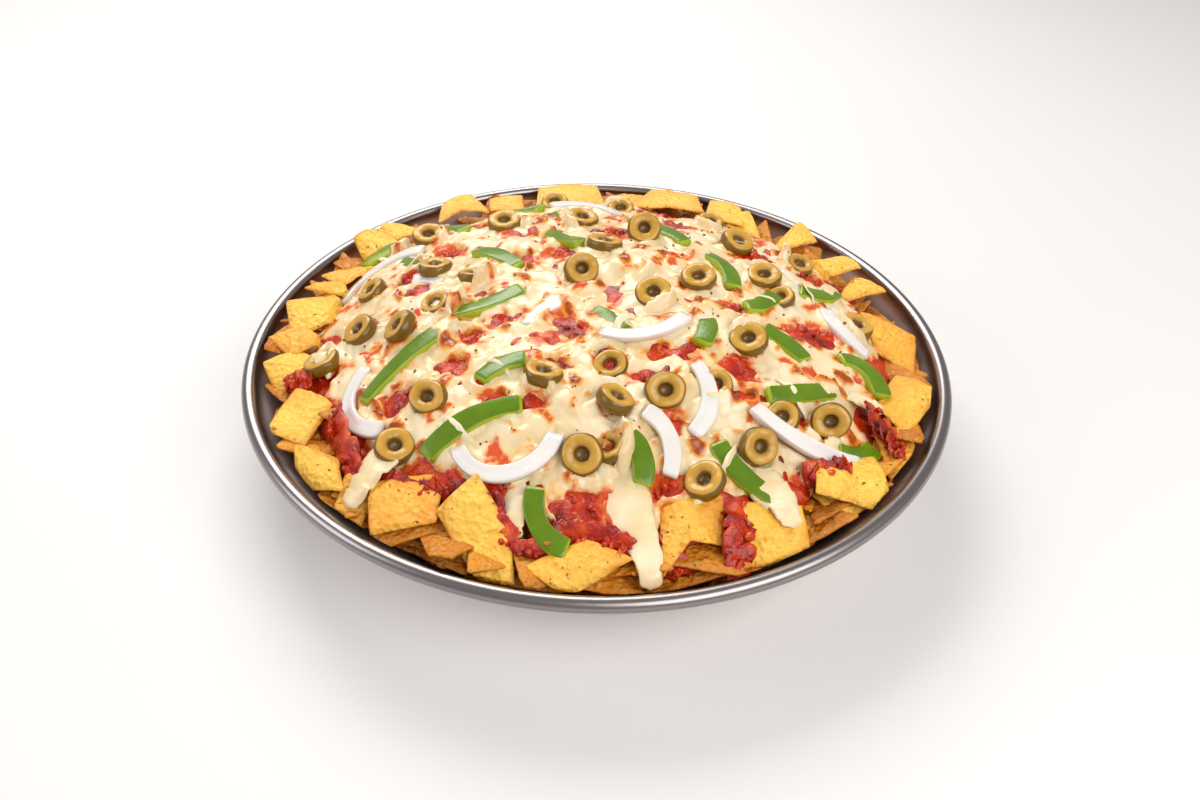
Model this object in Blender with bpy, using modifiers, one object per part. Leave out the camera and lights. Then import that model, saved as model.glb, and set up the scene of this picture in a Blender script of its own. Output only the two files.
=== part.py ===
"""Nachos heaped in a round steel pan, as separate closed solids.

Metres, +Z up, +Y to the back. The origin is the middle of the pan's underside.
Sizes below are whole millimetres; mm() turns them into metres.
"""

import math

import bmesh
import bpy
from mathutils import Matrix, Vector

# ---------------------------------------------------------------- sizes (mm)
RIM_BEAD_R = 152.0        # centre line of the rolled rim
BEAD_RADIUS = 3.0
RIM_HEIGHT = 40.0         # height of the bead's centre
BASE_R = 120.0            # outer radius of the flat base
BASE_FILLET = 8.0
SHEET = 1.0               # thickness of the steel
BEAD_START, BEAD_END = -115, 195   # turn of the bead's section, in degrees
FILLET_STEPS, BEAD_STEPS = 3, 7
PAN_STEPS = 40
TRIM_STEPS = 36           # facets of the cutter shaped like the inside of the pan

GAP = 0.3                 # between pieces that touch
EDGE_GAP = 1.5 * GAP      # under the olives, and round the cutter above the bed
WALL_GAP = 1.6 * GAP      # between chips and steel, and under the strips
CROWN_HEIGHT = 72.0       # top of the heap over the table
CROWN_DROP = 50.0         # how far the heap has fallen at the rim
CROWN_POWER = 2.5
SURFACE_WAVE = 0.8
WAVE_LENGTHS = (95.0, 78.0)

CHEESE_DEEP, CHEESE_EDGE = 3.5, 1.2
LAYERS_DEEP, LAYERS_EDGE = 7.0, 2.2
SHAVE = 0.12              # the cutter above the bed clears it by this
SALSA_RIM_LIFT = 0.7      # bare sauce stands this far under the crown
EDGE_FADE = 14.0
BARE_DROP = 4.5           # heap below the crown outside the sauce
HEAP_EDGE_Z = 24.0        # where the heap meets the wall
WALL_LOW_Z = 12.0         # where its side leaves the base's curve
BEARINGS = 36             # grid lines round the heap
PITCH = 10.0              # between the grid's rings before they are moved
ABOVE_ALL = 95.0          # a height over everything
RINGS = (0.30, 0.55, 0.76, 0.91, 1.0)

# Outline radii every 15 degrees, from +X round by the back.
CHEESE_OUTLINE = (126, 127, 128, 122, 116, 113, 111, 113, 118, 124, 124, 123,
                  127, 126, 116, 121, 113, 111, 120, 121, 118, 124, 127, 122)
SALSA_OUTLINE = (131, 131, 131, 125, 119, 116, 114, 116, 121, 128, 129, 130,
                 132, 131, 129, 130, 118, 115, 124, 130, 124, 130, 133, 129)

# Edge chips: bearing, radius and height of the middle, side, turn, lean, curl.
CHIP_THICKNESS = 2.0
CHIP_POINT_TURN, CHIP_POINT_REACH = 5, 0.96   # a corner's two points, degrees and share of its reach
CHIPS = (
    (1, 129, 35, 42, 0, 14, 1),
    (343, 129, 35, 46, 15, 15, 1),
    (331, 130, 34, 38, 60, -2, 1),
    (318, 128, 36, 42, 0, -2, 2),
    (311, 129, 32, 36, 30, -10, 1),
    (298, 129, 36, 44, 20, -16, 1),
    (286, 128, 35, 38, 180, -12, 4),
    (288, 132, 30, 34, 60, 0, 1),
    (268, 130, 36, 42, -5, -12, 1),
    (275, 134, 30, 34, 30, 5, 1),
    (252, 128, 39, 46, 50, -24, 2),
    (243, 133, 31, 34, 40, 10, 1),
    (236, 129, 35, 40, 60, 8, 1),
    (229, 133, 32, 30, 0, 10, 1),
    (219, 130, 33, 42, 60, 8, 4),
    (205, 130, 35, 40, 10, 14, 1),
    (191, 130, 35, 38, 0, 14, 1),
    (172, 130, 35, 42, -15, 17, 1),
    (163, 132, 34, 28, 30, 14, 1),
    (154, 130, 36, 34, 20, 15, 1),
    (144, 130, 37, 38, 60, 20, 1),
    (134, 130, 37, 34, 0, 18, 1),
    (119, 129, 38, 38, 60, 16, 1),
    (98, 128, 40, 46, 60, 12, 1),
    (73, 128, 40, 46, 60, 12, 1),
    (55, 130, 38, 32, 0, 16, 1),
    (42, 130, 37, 40, 50, 18, 1),
    (31, 131, 35, 30, 0, 16, 1),
    (23, 131, 34, 34, 0, 15, 1),
    (12, 131, 34, 34, 60, 15, 1),
)

# Olive rings: x, y, heading and angle of the axis' lean from upright.
OLIVE_R, OLIVE_HOLE_R, OLIVE_HEIGHT = 8.6, 2.8, 6.5
OLIVE_SHOULDER = 0.9      # the slice's faces are this much smaller than its middle
OLIVE_STEPS = 9
OLIVES = (
    (-84, 63, 270, 12), (-74, 19, 100, 12), (-103, 16, 180, 35), (-47, 66, 270, 8),
    (-9, 61, 0, 10), (-8, 4, 290, 38), (2, 29, 60, 14), (20, 42, 280, 38),
    (65, 50, 330, 22), (43, 5, 270, 12), (23, -12, 250, 26), (74, 19, 270, 10),
    (-102, -17, 200, 38), (-83, -25, 190, 45), (-117, -29, 170, 20), (-21, -63, 45, 12),
    (-65, -68, 240, 35), (7, -75, 20, 26), (26, -69, 275, 46), (61, -37, 240, 26),
    (115, 2, 350, 15), (-76, -87, 300, 24), (-5, -97, 265, 46), (40, -104, 210, 26),
    (61, -87, 300, 50), (92, -67, 260, 55),
)

# Bent strips: two ends (x, y), bulge to the left of the run, extra lift.
PEPPER_WIDTH, PEPPER_THICK, PEPPER_STEPS = 8.0, 5.0, 5
PEPPERS = (
    (-88, 84, -66, 66, 3, 0), (-46, 91, -30, 84, 1, 0), (-26, 49, -8, 31, -1, 0),
    (-56, 31, -36, 12, 1, 0), (-114, 54, -99, 65, 1, 2), (-62, -22, -33, -7, -2, 0),
    (-92, -58, -62, -30, 2, 0), (-45, -62, -28, -54, 2, 0), (43, -21, 41, -42, 2, 0),
    (14, 65, 39, 38, 1, 0), (45, 30, 57, 5, 5, 0), (62, -8, 76, 6, -3, 0),
    (90, 18, 108, 28, -4, 0), (68, -23, 84, -37, 1, 0), (66, -61, 94, -47, -1, 0),
    (101, -28, 118, -39, 5, 0), (93, -77, 109, -68, -2, 1), (45, -86, 67, -104, -3, 0),
    (11, -86, 17, -104, 3, 0), (-63, -90, -28, -75, 3, 0), (-21, -107, -9, -127, -5, 0),
)
ONION_WIDTH, ONION_THICK, ONION_STEPS = 6.5, 2.8, 8
ONIONS = (
    (-118, 22, -84, 46, 11, 0), (-94, -40, -82, -76, -11, 0), (-51, -94, -15, -90, -12, 0),
    (1, -38, 35, -26, -8, 0), (38, -54, 36, -84, 6, 0), (18, -78, 27, -103, 6, 0),
    (63, -70, 99, -84, -6, 4), (99, 9, 114, -19, -4, 0), (-25, 87, 8, 72, 8, 0),
)

COLLECTION = "nachos"
CUTTERS = "cutters"


# ------------------------------------------------------------------- helpers
def mm(*values):
    """Millimetres to metres, one value or several."""
    scaled = tuple(v * 0.001 for v in values)
    return scaled[0] if len(scaled) == 1 else scaled


def clear_scene():
    for old in list(bpy.data.objects):
        bpy.data.objects.remove(old, do_unlink=True)


def collection(name, shown=True):
    made = bpy.data.collections.new(name)
    bpy.context.scene.collection.children.link(made)
    made.hide_render = not shown
    return made


def material(name, rgb, roughness, metallic=0.0):
    mat = bpy.data.materials.new(name)
    mat.use_nodes = True
    shader = mat.node_tree.nodes["Principled BSDF"]
    shader.inputs["Base Color"].default_value = (*rgb, 1.0)
    shader.inputs["Roughness"].default_value = roughness
    shader.inputs["Metallic"].default_value = metallic
    return mat


def link_mesh(name, mesh, home, mat=None):
    obj = bpy.data.objects.new(name, mesh)
    home.objects.link(obj)
    if mat:
        mesh.materials.clear()
        mesh.materials.append(mat)
    return obj


def as_cutter(obj):
    obj.hide_render = True
    obj.display_type = "WIRE"
    return obj


def turned_mesh(name, profile, steps, close=False):
    """The mesh of a profile of (radius, height) points turned about Z."""
    points = [Vector((mm(r), 0.0, mm(z))) for r, z in profile]
    edges = [(i, i + 1) for i in range(len(points) - 1)]
    if close:
        edges.append((len(points) - 1, 0))
    outline = bpy.data.meshes.new(name + "_profile")
    outline.from_pydata(points, edges, [])
    obj = bpy.data.objects.new(name + "_profile", outline)
    bpy.context.scene.collection.objects.link(obj)
    screw = obj.modifiers.new("turn", "SCREW")
    screw.steps = screw.render_steps = steps
    screw.use_merge_vertices = True
    screw.merge_threshold = 0.00001
    screw.use_smooth_shade = False
    bpy.context.view_layer.update()
    solid = bpy.data.meshes.new_from_object(obj.evaluated_get(bpy.context.evaluated_depsgraph_get()))
    bpy.data.objects.remove(obj, do_unlink=True)
    solid.name = name
    outward(solid)
    return solid


def outward(mesh):
    bm = bmesh.new()
    bm.from_mesh(mesh)
    bmesh.ops.recalc_face_normals(bm, faces=bm.faces)
    if bm.calc_volume(signed=True) < 0.0:
        bmesh.ops.reverse_faces(bm, faces=bm.faces)
    bm.to_mesh(mesh)
    bm.free()


def arc(centre_r, centre_z, radius, start, end, count):
    """Points on an arc in the (radius, height) plane, angles in degrees."""
    for i in range(count + 1):
        a = math.radians(start + (end - start) * i / count)
        yield centre_r + radius * math.cos(a), centre_z + radius * math.sin(a)


def boolean(obj, operation, other):
    cut = obj.modifiers.new(operation.lower(), "BOOLEAN")
    cut.operation = operation
    if isinstance(other, bpy.types.Collection):
        cut.operand_type = "COLLECTION"
        cut.collection = other
    else:
        cut.object = other


# --------------------------------------------------------------- the surfaces
def outline_radius(table, bearing):
    """Smooth closed outline through the table's radii, bearing in radians."""
    place = (bearing / math.tau) % 1.0 * len(table)
    i = int(place)
    f = place - i
    before, here, after, beyond = (table[(i + k) % len(table)] for k in (-1, 0, 1, 2))
    return here + 0.5 * f * (after - before + f * (2 * before - 5 * here + 4 * after - beyond
                             + f * (3 * (here - after) + beyond - before)))


def wave(x, y):
    a, b = WAVE_LENGTHS
    return SURFACE_WAVE * (math.sin(math.tau * (x + 0.4 * y) / a) + math.sin(math.tau * (y - 0.3 * x) / b))


def crown(x, y):
    """Height of the finished heap, in mm, over a point in mm."""
    r = math.hypot(x, y)
    return CROWN_HEIGHT - CROWN_DROP * (r / RIM_BEAD_R) ** CROWN_POWER + wave(x, y)


def crown_normal(x, y, step=6.0):
    dx = (crown(x + step, y) - crown(x - step, y)) / (2 * step)
    dy = (crown(x, y + step) - crown(x, y - step)) / (2 * step)
    return Vector((-dx, -dy, 1.0)).normalized()


def inside_fraction(table, x, y, fade):
    """0 at an outline, 1 at fade or more inside it."""
    room = outline_radius(table, math.atan2(y, x)) - math.hypot(x, y)
    f = min(1.0, max(0.0, room / fade))
    return f * f * (3 - 2 * f)


def cheese_floor(x, y):
    depth = CHEESE_EDGE + (CHEESE_DEEP - CHEESE_EDGE) * inside_fraction(CHEESE_OUTLINE, x, y, EDGE_FADE)
    return crown(x, y) - depth


def salsa_top(x, y):
    covered = math.hypot(x, y) <= outline_radius(CHEESE_OUTLINE, math.atan2(y, x)) + 0.01
    return cheese_floor(x, y) - GAP if covered else crown(x, y) - SALSA_RIM_LIFT


def bed(x, y):
    """Top of the chips under the sauce."""
    depth = LAYERS_EDGE + (LAYERS_DEEP - LAYERS_EDGE) * inside_fraction(SALSA_OUTLINE, x, y, EDGE_FADE)
    return crown(x, y) - depth


def inner_wall(z):
    """Inner radius of the pan at a height, in mm."""
    flare = (RIM_BEAD_R - BEAD_RADIUS - BASE_R) / RIM_HEIGHT
    return BASE_R - SHEET * math.hypot(1.0, flare) + flare * z


# ----------------------------------------------------------------- the pieces
def pan_profile():
    """Base, flared wall and rolled rim of the pan, as one closed outline."""
    flare = math.degrees(math.atan2(RIM_BEAD_R - BEAD_RADIUS - BASE_R, RIM_HEIGHT))
    wall_angle = -flare
    tangent = BASE_FILLET * math.tan(math.radians(90 - flare) / 2)
    centre_r = BASE_R - tangent
    outer = [(0.0, 0.0)] + list(arc(centre_r, BASE_FILLET, BASE_FILLET, -90, wall_angle, FILLET_STEPS))
    bead = list(arc(RIM_BEAD_R, RIM_HEIGHT, BEAD_RADIUS, BEAD_START, BEAD_END, BEAD_STEPS))
    inner_fillet = BASE_FILLET - SHEET
    inner = list(arc(centre_r, BASE_FILLET, inner_fillet, wall_angle, -90, FILLET_STEPS)) + [(0.0, SHEET)]
    return outer + bead + inner


def make_pan(home):
    steel = material("polished_steel", (0.60, 0.58, 0.57), 0.22, 1.0)
    link_mesh("pan", turned_mesh("pan", pan_profile(), PAN_STEPS), home, steel)


def layer_rings(bearing, reach):
    """Radii of the grid at a bearing: cheese rings, then on to what lies outside."""
    edge = outline_radius(CHEESE_OUTLINE, bearing)
    radii = [edge * f for f in RINGS]
    if reach != "cheese":
        radii.append(outline_radius(SALSA_OUTLINE, bearing) + (EDGE_GAP if reach == "clear" else 0.0))
    return radii


def move_grid(mesh, place):
    """Move each vertex to place(vertex), with faces split alike on stacked grids.

    The split is chosen while the grid lies flat, so two layers whose rings agree
    in plan get the same triangles and keep their gap everywhere.
    """
    spots = [place(v) for v in mesh.vertices]
    bm = bmesh.new()
    bm.from_mesh(mesh)
    bm.verts.ensure_lookup_table()
    for v, (x, y, _) in zip(bm.verts, spots):
        v.co = mm(x, y, 0.0)
    bmesh.ops.triangulate(bm, faces=bm.faces, quad_method="SHORT_EDGE")
    for v, (x, y, z) in zip(bm.verts, spots):
        v.co = mm(x, y, z)
    bm.to_mesh(mesh)
    bm.free()
    outward(mesh)


def layer_mesh(name, reach, top, floor):
    """A layer of the heap: a turned disc whose rings are moved onto two surfaces."""
    count = len(layer_rings(0.0, reach))
    flat = [(0, 1)] + [(PITCH * (i + 1), 1) for i in range(count)]
    profile = flat + [(r, 0) for r, _ in reversed(flat)]
    mesh = turned_mesh(name, profile, BEARINGS)

    def place(vertex):
        ring = round(math.hypot(vertex.co.x, vertex.co.y) / mm(PITCH))
        bearing = math.atan2(vertex.co.y, vertex.co.x)
        r = layer_rings(bearing, reach)[ring - 1] if ring else 0.0
        x, y = r * math.cos(bearing), r * math.sin(bearing)
        surface = top if vertex.co.z > mm(0.5) else floor
        return x, y, surface(x, y)

    move_grid(mesh, place)
    return mesh


def chip_outline(side):
    """Corners with their points taken off, and the middles of the sides."""
    radius = side / math.sqrt(3)
    for corner in (0, 120, 240):
        for turn, reach in ((-CHIP_POINT_TURN, CHIP_POINT_REACH), (CHIP_POINT_TURN, CHIP_POINT_REACH), (60, 0.5)):
            a = math.radians(corner + turn)
            yield radius * reach * math.cos(a), radius * reach * math.sin(a)


def chip_mesh(name, side, curl):
    """A three-cornered chip of one thickness, arched across its length."""
    bm = bmesh.new()
    bmesh.ops.create_cone(bm, cap_ends=True, cap_tris=True, segments=9, depth=mm(CHIP_THICKNESS),
                          radius1=mm(side), radius2=mm(side))
    corners = list(chip_outline(side))
    for v in bm.verts:
        x, y = v.co.x, v.co.y
        if math.hypot(x, y) > mm(1):
            step = round(math.degrees(math.atan2(y, x)) / 40) % 9
            x, y = mm(*corners[step])
        lift = mm(curl) * (1 - (2 * y / mm(side)) ** 2)
        v.co = (x, y, v.co.z + lift)
    mesh = bpy.data.meshes.new(name)
    bm.to_mesh(mesh)
    bm.free()
    outward(mesh)
    return mesh


def chip_place(bearing, radius, height, turn, lean):
    heading = math.radians(bearing)
    at = Vector(mm(radius * math.cos(heading), radius * math.sin(heading), height))
    return (Matrix.Translation(at) @ Matrix.Rotation(heading, 4, "Z")
            @ Matrix.Rotation(-math.radians(lean), 4, "Y") @ Matrix.Rotation(math.radians(turn), 4, "Z"))


def core_mesh():
    """The mound under the layers, resting on the steel."""
    rings = len(RINGS) + 1
    floor_z = SHEET + GAP
    top = [(0, 1)] + [(PITCH * (i + 1), 1) for i in range(rings + 2)]
    profile = top + [(PITCH * (rings + 1.5), 0), (PITCH * (rings + 0.5), 0), (0, 0)]
    mesh = turned_mesh("chip_heap", profile, BEARINGS)
    rim_r = inner_wall(HEAP_EDGE_Z) - 2 * GAP

    def place(v):
        ring = round(2 * math.hypot(v.co.x, v.co.y) / mm(PITCH)) / 2
        bearing = math.atan2(v.co.y, v.co.x)
        if v.co.z > mm(0.5) and ring <= rings:
            r = layer_rings(bearing, "heap")[int(ring) - 1] if ring else 0.0
            z = bed(r * math.cos(bearing), r * math.sin(bearing))
        elif v.co.z > mm(0.5):
            outer = outline_radius(SALSA_OUTLINE, bearing)
            r = outer + (rim_r - outer) * (ring - rings) / 2
            x, y = r * math.cos(bearing), r * math.sin(bearing)
            z = crown(x, y) - BARE_DROP if ring < rings + 2 else HEAP_EDGE_Z
        elif ring > rings + 1:
            r, z = inner_wall(WALL_LOW_Z) - 2 * GAP, WALL_LOW_Z
        elif ring > 1:
            r, z = BASE_R - BASE_FILLET, floor_z
        else:
            r, z = 0.0, floor_z
        return r * math.cos(bearing), r * math.sin(bearing), z

    move_grid(mesh, place)
    return mesh


def make_heap(home, cutters):
    """Chips under everything, with those at the edge standing out of the mound."""
    corn = material("tortilla", (0.80, 0.50, 0.12), 0.60)
    heap = link_mesh("chip_heap", core_mesh(), home, corn)

    plates = collection("chip plates", shown=False)
    for i, (bearing, radius, height, side, turn, lean, curl) in enumerate(CHIPS):
        plate = link_mesh(f"plate_{i:02d}", chip_mesh(f"plate_{i:02d}", side, curl), plates)
        plate.matrix_world = chip_place(bearing, radius, height, turn, lean)
        as_cutter(plate)
    boolean(heap, "UNION", plates)

    above = link_mesh("above_bed", layer_mesh("above_bed", "clear", lambda x, y: ABOVE_ALL,
                      lambda x, y: bed(x, y) + SHAVE), cutters)
    boolean(heap, "DIFFERENCE", as_cutter(above))

    lip = RIM_BEAD_R - BEAD_RADIUS - WALL_GAP - SHEET
    low_r = inner_wall(WALL_LOW_Z) - WALL_GAP
    inside = [(0, -WALL_LOW_Z), (low_r, -WALL_LOW_Z), (low_r, WALL_LOW_Z),
              (inner_wall(RIM_HEIGHT - BEAD_RADIUS) - WALL_GAP, RIM_HEIGHT - BEAD_RADIUS),
              (lip, RIM_HEIGHT + BEAD_RADIUS), (lip, ABOVE_ALL), (0, ABOVE_ALL)]
    hollow = link_mesh("pan_inside", turned_mesh("pan_inside", inside, TRIM_STEPS), cutters)
    boolean(heap, "INTERSECT", as_cutter(hollow))


def make_layers(home):
    red = material("salsa", (0.45, 0.04, 0.02), 0.28)
    cream = material("melted_cheese", (0.86, 0.76, 0.52), 0.38)
    salsa = layer_mesh("salsa", "salsa", salsa_top, lambda x, y: bed(x, y) + GAP)
    cheese = layer_mesh("cheese", "cheese", crown, cheese_floor)
    link_mesh("salsa", salsa, home, red)
    link_mesh("cheese", cheese, home, cream)


def make_olives(home):
    olive = material("green_olive", (0.30, 0.24, 0.05), 0.32)
    half = OLIVE_HEIGHT / 2
    shoulder = OLIVE_R - OLIVE_SHOULDER
    profile = [(OLIVE_HOLE_R, -half), (shoulder, -half), (OLIVE_R, 0.0), (shoulder, half), (OLIVE_HOLE_R, half)]
    for i, (x, y, heading, lean) in enumerate(OLIVES):
        mesh = turned_mesh(f"olive_{i:02d}", profile, OLIVE_STEPS, close=True)
        ring = link_mesh(f"olive_{i:02d}", mesh, home, olive)
        axis = Vector((math.cos(math.radians(heading)), math.sin(math.radians(heading)), 0.0))
        axis = axis * math.sin(math.radians(lean)) + Vector((0, 0, math.cos(math.radians(lean))))
        turn = axis.to_track_quat("Z", "Y").to_matrix().to_4x4()
        low = max(crown(x + (turn @ v.co).x * 1000, y + (turn @ v.co).y * 1000) - (turn @ v.co).z * 1000
                  for v in mesh.vertices)
        ring.matrix_world = Matrix.Translation(mm(x, y, low + EDGE_GAP)) @ turn


def bent_strip(name, run, width, thick, steps):
    """A strip laid on the heap between two points, bent to one side."""
    x0, y0, x1, y1, bulge, lift = run
    start, end = Vector((x0, y0)), Vector((x1, y1))
    chord = (end - start).length
    along = (end - start) / chord
    left = Vector((-along.y, along.x))
    radius = (chord * chord / 4 + bulge * bulge) / (2 * abs(bulge))
    half_angle = math.atan2(chord / 2, radius - abs(bulge))
    side = math.copysign(1.0, bulge)
    centre = (start + end) / 2 - left * side * (radius - abs(bulge))
    bm = bmesh.new()
    bmesh.ops.create_cube(bm, size=1.0)
    lengthwise = [e for e in bm.edges if abs(e.verts[0].co.x - e.verts[1].co.x) > 0.5]
    bmesh.ops.subdivide_edges(bm, edges=lengthwise, cuts=steps - 1, use_grid_fill=True)
    for v in bm.verts:
        turn = 2 * half_angle * v.co.x
        out = left * side * math.cos(turn) + along * math.sin(turn)
        place = centre + out * (radius + width * v.co.y * side)
        middle = centre + out * radius
        normal = crown_normal(middle.x, middle.y)
        across = Vector((out.x, out.y, 0.0))
        across = (across - normal * across.dot(normal)).normalized() * width * v.co.y * side
        base = Vector((middle.x, middle.y, crown(middle.x, middle.y)))
        v.co = mm(*(base + across + normal * (thick * (v.co.z + 0.5) + WALL_GAP + lift)))
    mesh = bpy.data.meshes.new(name)
    bm.to_mesh(mesh)
    bm.free()
    outward(mesh)
    return mesh


def make_strips(home):
    green = material("green_pepper", (0.12, 0.36, 0.03), 0.30)
    white = material("white_onion", (0.80, 0.78, 0.76), 0.30)
    for i, run in enumerate(PEPPERS):
        link_mesh(f"pepper_{i:02d}", bent_strip(f"pepper_{i:02d}", run, PEPPER_WIDTH, PEPPER_THICK,
                                                       PEPPER_STEPS), home, green)
    for i, run in enumerate(ONIONS):
        link_mesh(f"onion_{i:02d}", bent_strip(f"onion_{i:02d}", run, ONION_WIDTH, ONION_THICK,
                                                      ONION_STEPS), home, white)


def main():
    clear_scene()
    home = collection(COLLECTION)
    cutters = collection(CUTTERS, shown=False)
    make_pan(home)
    make_heap(home, cutters)
    make_layers(home)
    make_olives(home)
    make_strips(home)


main()
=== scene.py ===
"""Nachos baked in a round steel pan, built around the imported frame.

Tortilla chips stand round the edge and lie under red salsa, melted mozzarella,
sliced green olives, pepper strips and onion arcs. Plan sizes are in millimetres,
x to the right and y to the back, and become metres where a mesh is made.
"""
import math

import bmesh
import bpy
import numpy as np
from bpy.props import FloatProperty, FloatVectorProperty, IntProperty, PointerProperty
from mathutils import Matrix, Vector


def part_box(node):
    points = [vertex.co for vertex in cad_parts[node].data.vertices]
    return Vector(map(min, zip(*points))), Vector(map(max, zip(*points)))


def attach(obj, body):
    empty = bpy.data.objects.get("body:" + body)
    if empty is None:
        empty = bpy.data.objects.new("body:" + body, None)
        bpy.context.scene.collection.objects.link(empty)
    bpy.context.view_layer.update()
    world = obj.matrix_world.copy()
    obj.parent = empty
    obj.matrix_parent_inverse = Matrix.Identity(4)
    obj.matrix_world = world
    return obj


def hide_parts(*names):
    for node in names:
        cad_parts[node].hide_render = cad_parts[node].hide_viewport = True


bl_info = {
    "name": "Nachos in a round pan",
    "version": (1, 0, 0),
    "blender": (4, 5, 0),
    "location": "View3D > Sidebar > Nachos",
    "description": "Builds a pan of nachos with salsa, melted cheese and toppings",
    "category": "Object",
}

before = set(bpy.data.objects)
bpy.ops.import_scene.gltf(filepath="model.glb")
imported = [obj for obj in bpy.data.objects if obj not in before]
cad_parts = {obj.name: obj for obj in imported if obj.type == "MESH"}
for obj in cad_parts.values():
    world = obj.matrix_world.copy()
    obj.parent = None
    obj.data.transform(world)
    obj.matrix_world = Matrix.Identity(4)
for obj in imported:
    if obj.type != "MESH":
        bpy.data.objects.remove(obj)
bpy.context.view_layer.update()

MM = 0.001
PAN_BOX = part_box("pan")
RIM_OUTER = PAN_BOX[1].x / MM
SEED = 11

# ------------------------------------------------------------ plan of the dish
CROWN_HEIGHT = 72.0          # top of the heap over the table
CROWN_DROP = 50.0            # how far the heap has fallen at the rim
CROWN_REACH = 152.0
CROWN_POWER = 2.5
WAVE_LENGTHS = (95.0, 78.0)
WAVE_HEIGHT = 0.8

# radius every 15 degrees, from the right round by the back
CHEESE_OUTLINE = (126, 127, 128, 122, 116, 113, 111, 113, 118, 124, 124, 123,
                  127, 126, 116, 121, 113, 111, 120, 121, 118, 124, 127, 122)
SALSA_OUTLINE = (131, 131, 131, 125, 119, 116, 114, 116, 121, 128, 129, 130,
                 132, 131, 129, 130, 118, 115, 124, 130, 124, 130, 133, 129)

# where the cheese has drawn back from the salsa: x, y, half length, half width, heading
BARE_PATCHES = (
    (-133, -13, 4, 3, 0), (-118, -12, 5, 4, 0), (-103, -10, 6, 4, 20), (-132, -37, 6, 5, 90),
    (-117, -38, 8, 5, 20), (-110, -57, 7, 6, 0), (-94, -82, 14, 6, 116), (-78, -62, 7, 5, 30),
    (-58, -50, 6, 5, 0), (-51, -35, 4, 3, 0), (-40, -25, 5, 3, 30), (-12, -31, 10, 4, 122),
    (5, -50, 6, 5, 0), (24, -47, 4, 3, 0), (35, -45, 5, 4, 0), (57, -49, 6, 5, 0),
    (92, -14, 10, 7, 20), (21, -60, 5, 3, 0), (27, -80, 4, 3, 0), (-16, -54, 4, 3, 0),
    (-38, -72, 4, 4, 0), (-26, -73, 4, 3, 0), (-61, -103, 12, 4, 0), (-33, -111, 9, 4, 105),
    (-27, -129, 5, 4, 0), (-3, -115, 12, 8, 0), (15, -130, 6, 4, 0), (27, -104, 5, 4, 0),
    (28, -113, 4, 3, 0), (51, -118, 12, 5, 90), (90, -90, 9, 4, 20), (116, -60, 11, 6, 110),
    (125, -28, 5, 6, 0), (113, -78, 6, 5, 0), (77, -65, 5, 4, 0), (57, -62, 5, 3, 0),
    (-85, 20, 8, 5, 10), (-80, 5, 5, 4, 0), (-70, 40, 6, 5, 0), (-35, 20, 6, 4, 0),
    (-18, 28, 5, 4, 0), (5, 50, 8, 5, 0), (40, 100, 8, 5, 0), (70, 45, 8, 6, 0),
    (95, 60, 7, 6, 0), (100, 40, 6, 5, 0), (115, 50, 6, 5, 0), (125, 40, 5, 5, 0),
    (-20, 95, 8, 5, 0), (-60, 78, 7, 4, 0), (60, -10, 5, 3, 0), (40, 5, 4, 3, 0),
)
# smooth swellings of cheese: x, y, radius, height
CHEESE_DOMES = (
    (-12, -73, 13, 4.0), (48, -22, 12, 4.0), (-40, 35, 11, 3.0), (15, 15, 11, 3.0),
    (-50, -45, 9, 2.5), (0, -88, 9, 2.5), (80, -50, 9, 2.5), (-100, -40, 9, 2.5), (70, 25, 10, 2.5),
)
# toasted spots: x, y, radius
TOASTED = (
    (-50, -33, 4), (-61, -38, 4), (-8, -66, 4), (52, -13, 4), (18, 29, 4), (29, 25, 5),
    (5, -49, 5), (-65, -63, 4), (43, -9, 4), (-58, -50, 5), (60, -62, 4), (27, -112, 4),
    (-20, 28, 4), (84, -24, 4), (-96, -55, 4), (38, -88, 4), (-30, 66, 4), (64, 60, 4),
    (-12, -19, 4), (-9, -39, 3), (-15, -53, 5), (26, -45, 4), (38, -43, 4), (28, -102, 4), (60, 4, 3),
    (75, 3, 4), (-56, 36, 4), (101, -38, 4), (0, -2, 3), (-31, 11, 3), (-37, -68, 3), (5, -93, 4),
    (-78, -76, 4), (20, 86, 4), (-19, 46, 3),
)

# olive rings: x, y, heading and lean of the axis, in the frame's order of nodes
OLIVES = (
    (-84, 63, 270, 12), (-74, 19, 100, 12), (-103, 16, 180, 35), (-47, 66, 270, 8), (-9, 61, 0, 10),
    (-8, 4, 290, 38), (2, 29, 60, 14), (20, 42, 280, 38), (65, 50, 330, 22), (43, 5, 270, 12),
    (23, -12, 250, 26), (74, 19, 270, 10), (-102, -17, 200, 38), (-83, -25, 190, 45),
    (-117, -29, 170, 20), (-21, -63, 45, 12), (-65, -68, 240, 35), (7, -75, 20, 26),
    (26, -69, 275, 46), (61, -37, 240, 26), (115, 2, 350, 15), (-76, -87, 300, 24),
    (-5, -97, 265, 46), (40, -104, 210, 26), (61, -87, 300, 50), (92, -67, 260, 55),
)
# small slices half sunk in the cheese: x, y, heading, lean
SUNK_OLIVES = (
    (-55, 7, 90, 20), (10, 87, 270, 12), (56, 90, 270, 16), (80, 6, 200, 15), (-55, -20, 300, 20),
    (46, -61, 280, 30), (5, -55, 250, 25), (-24, 100, 270, 20), (5, -92, 200, 20), (96, 50, 330, 20),
    (72, -70, 250, 30), (-70, -10, 200, 20),
)
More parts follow.
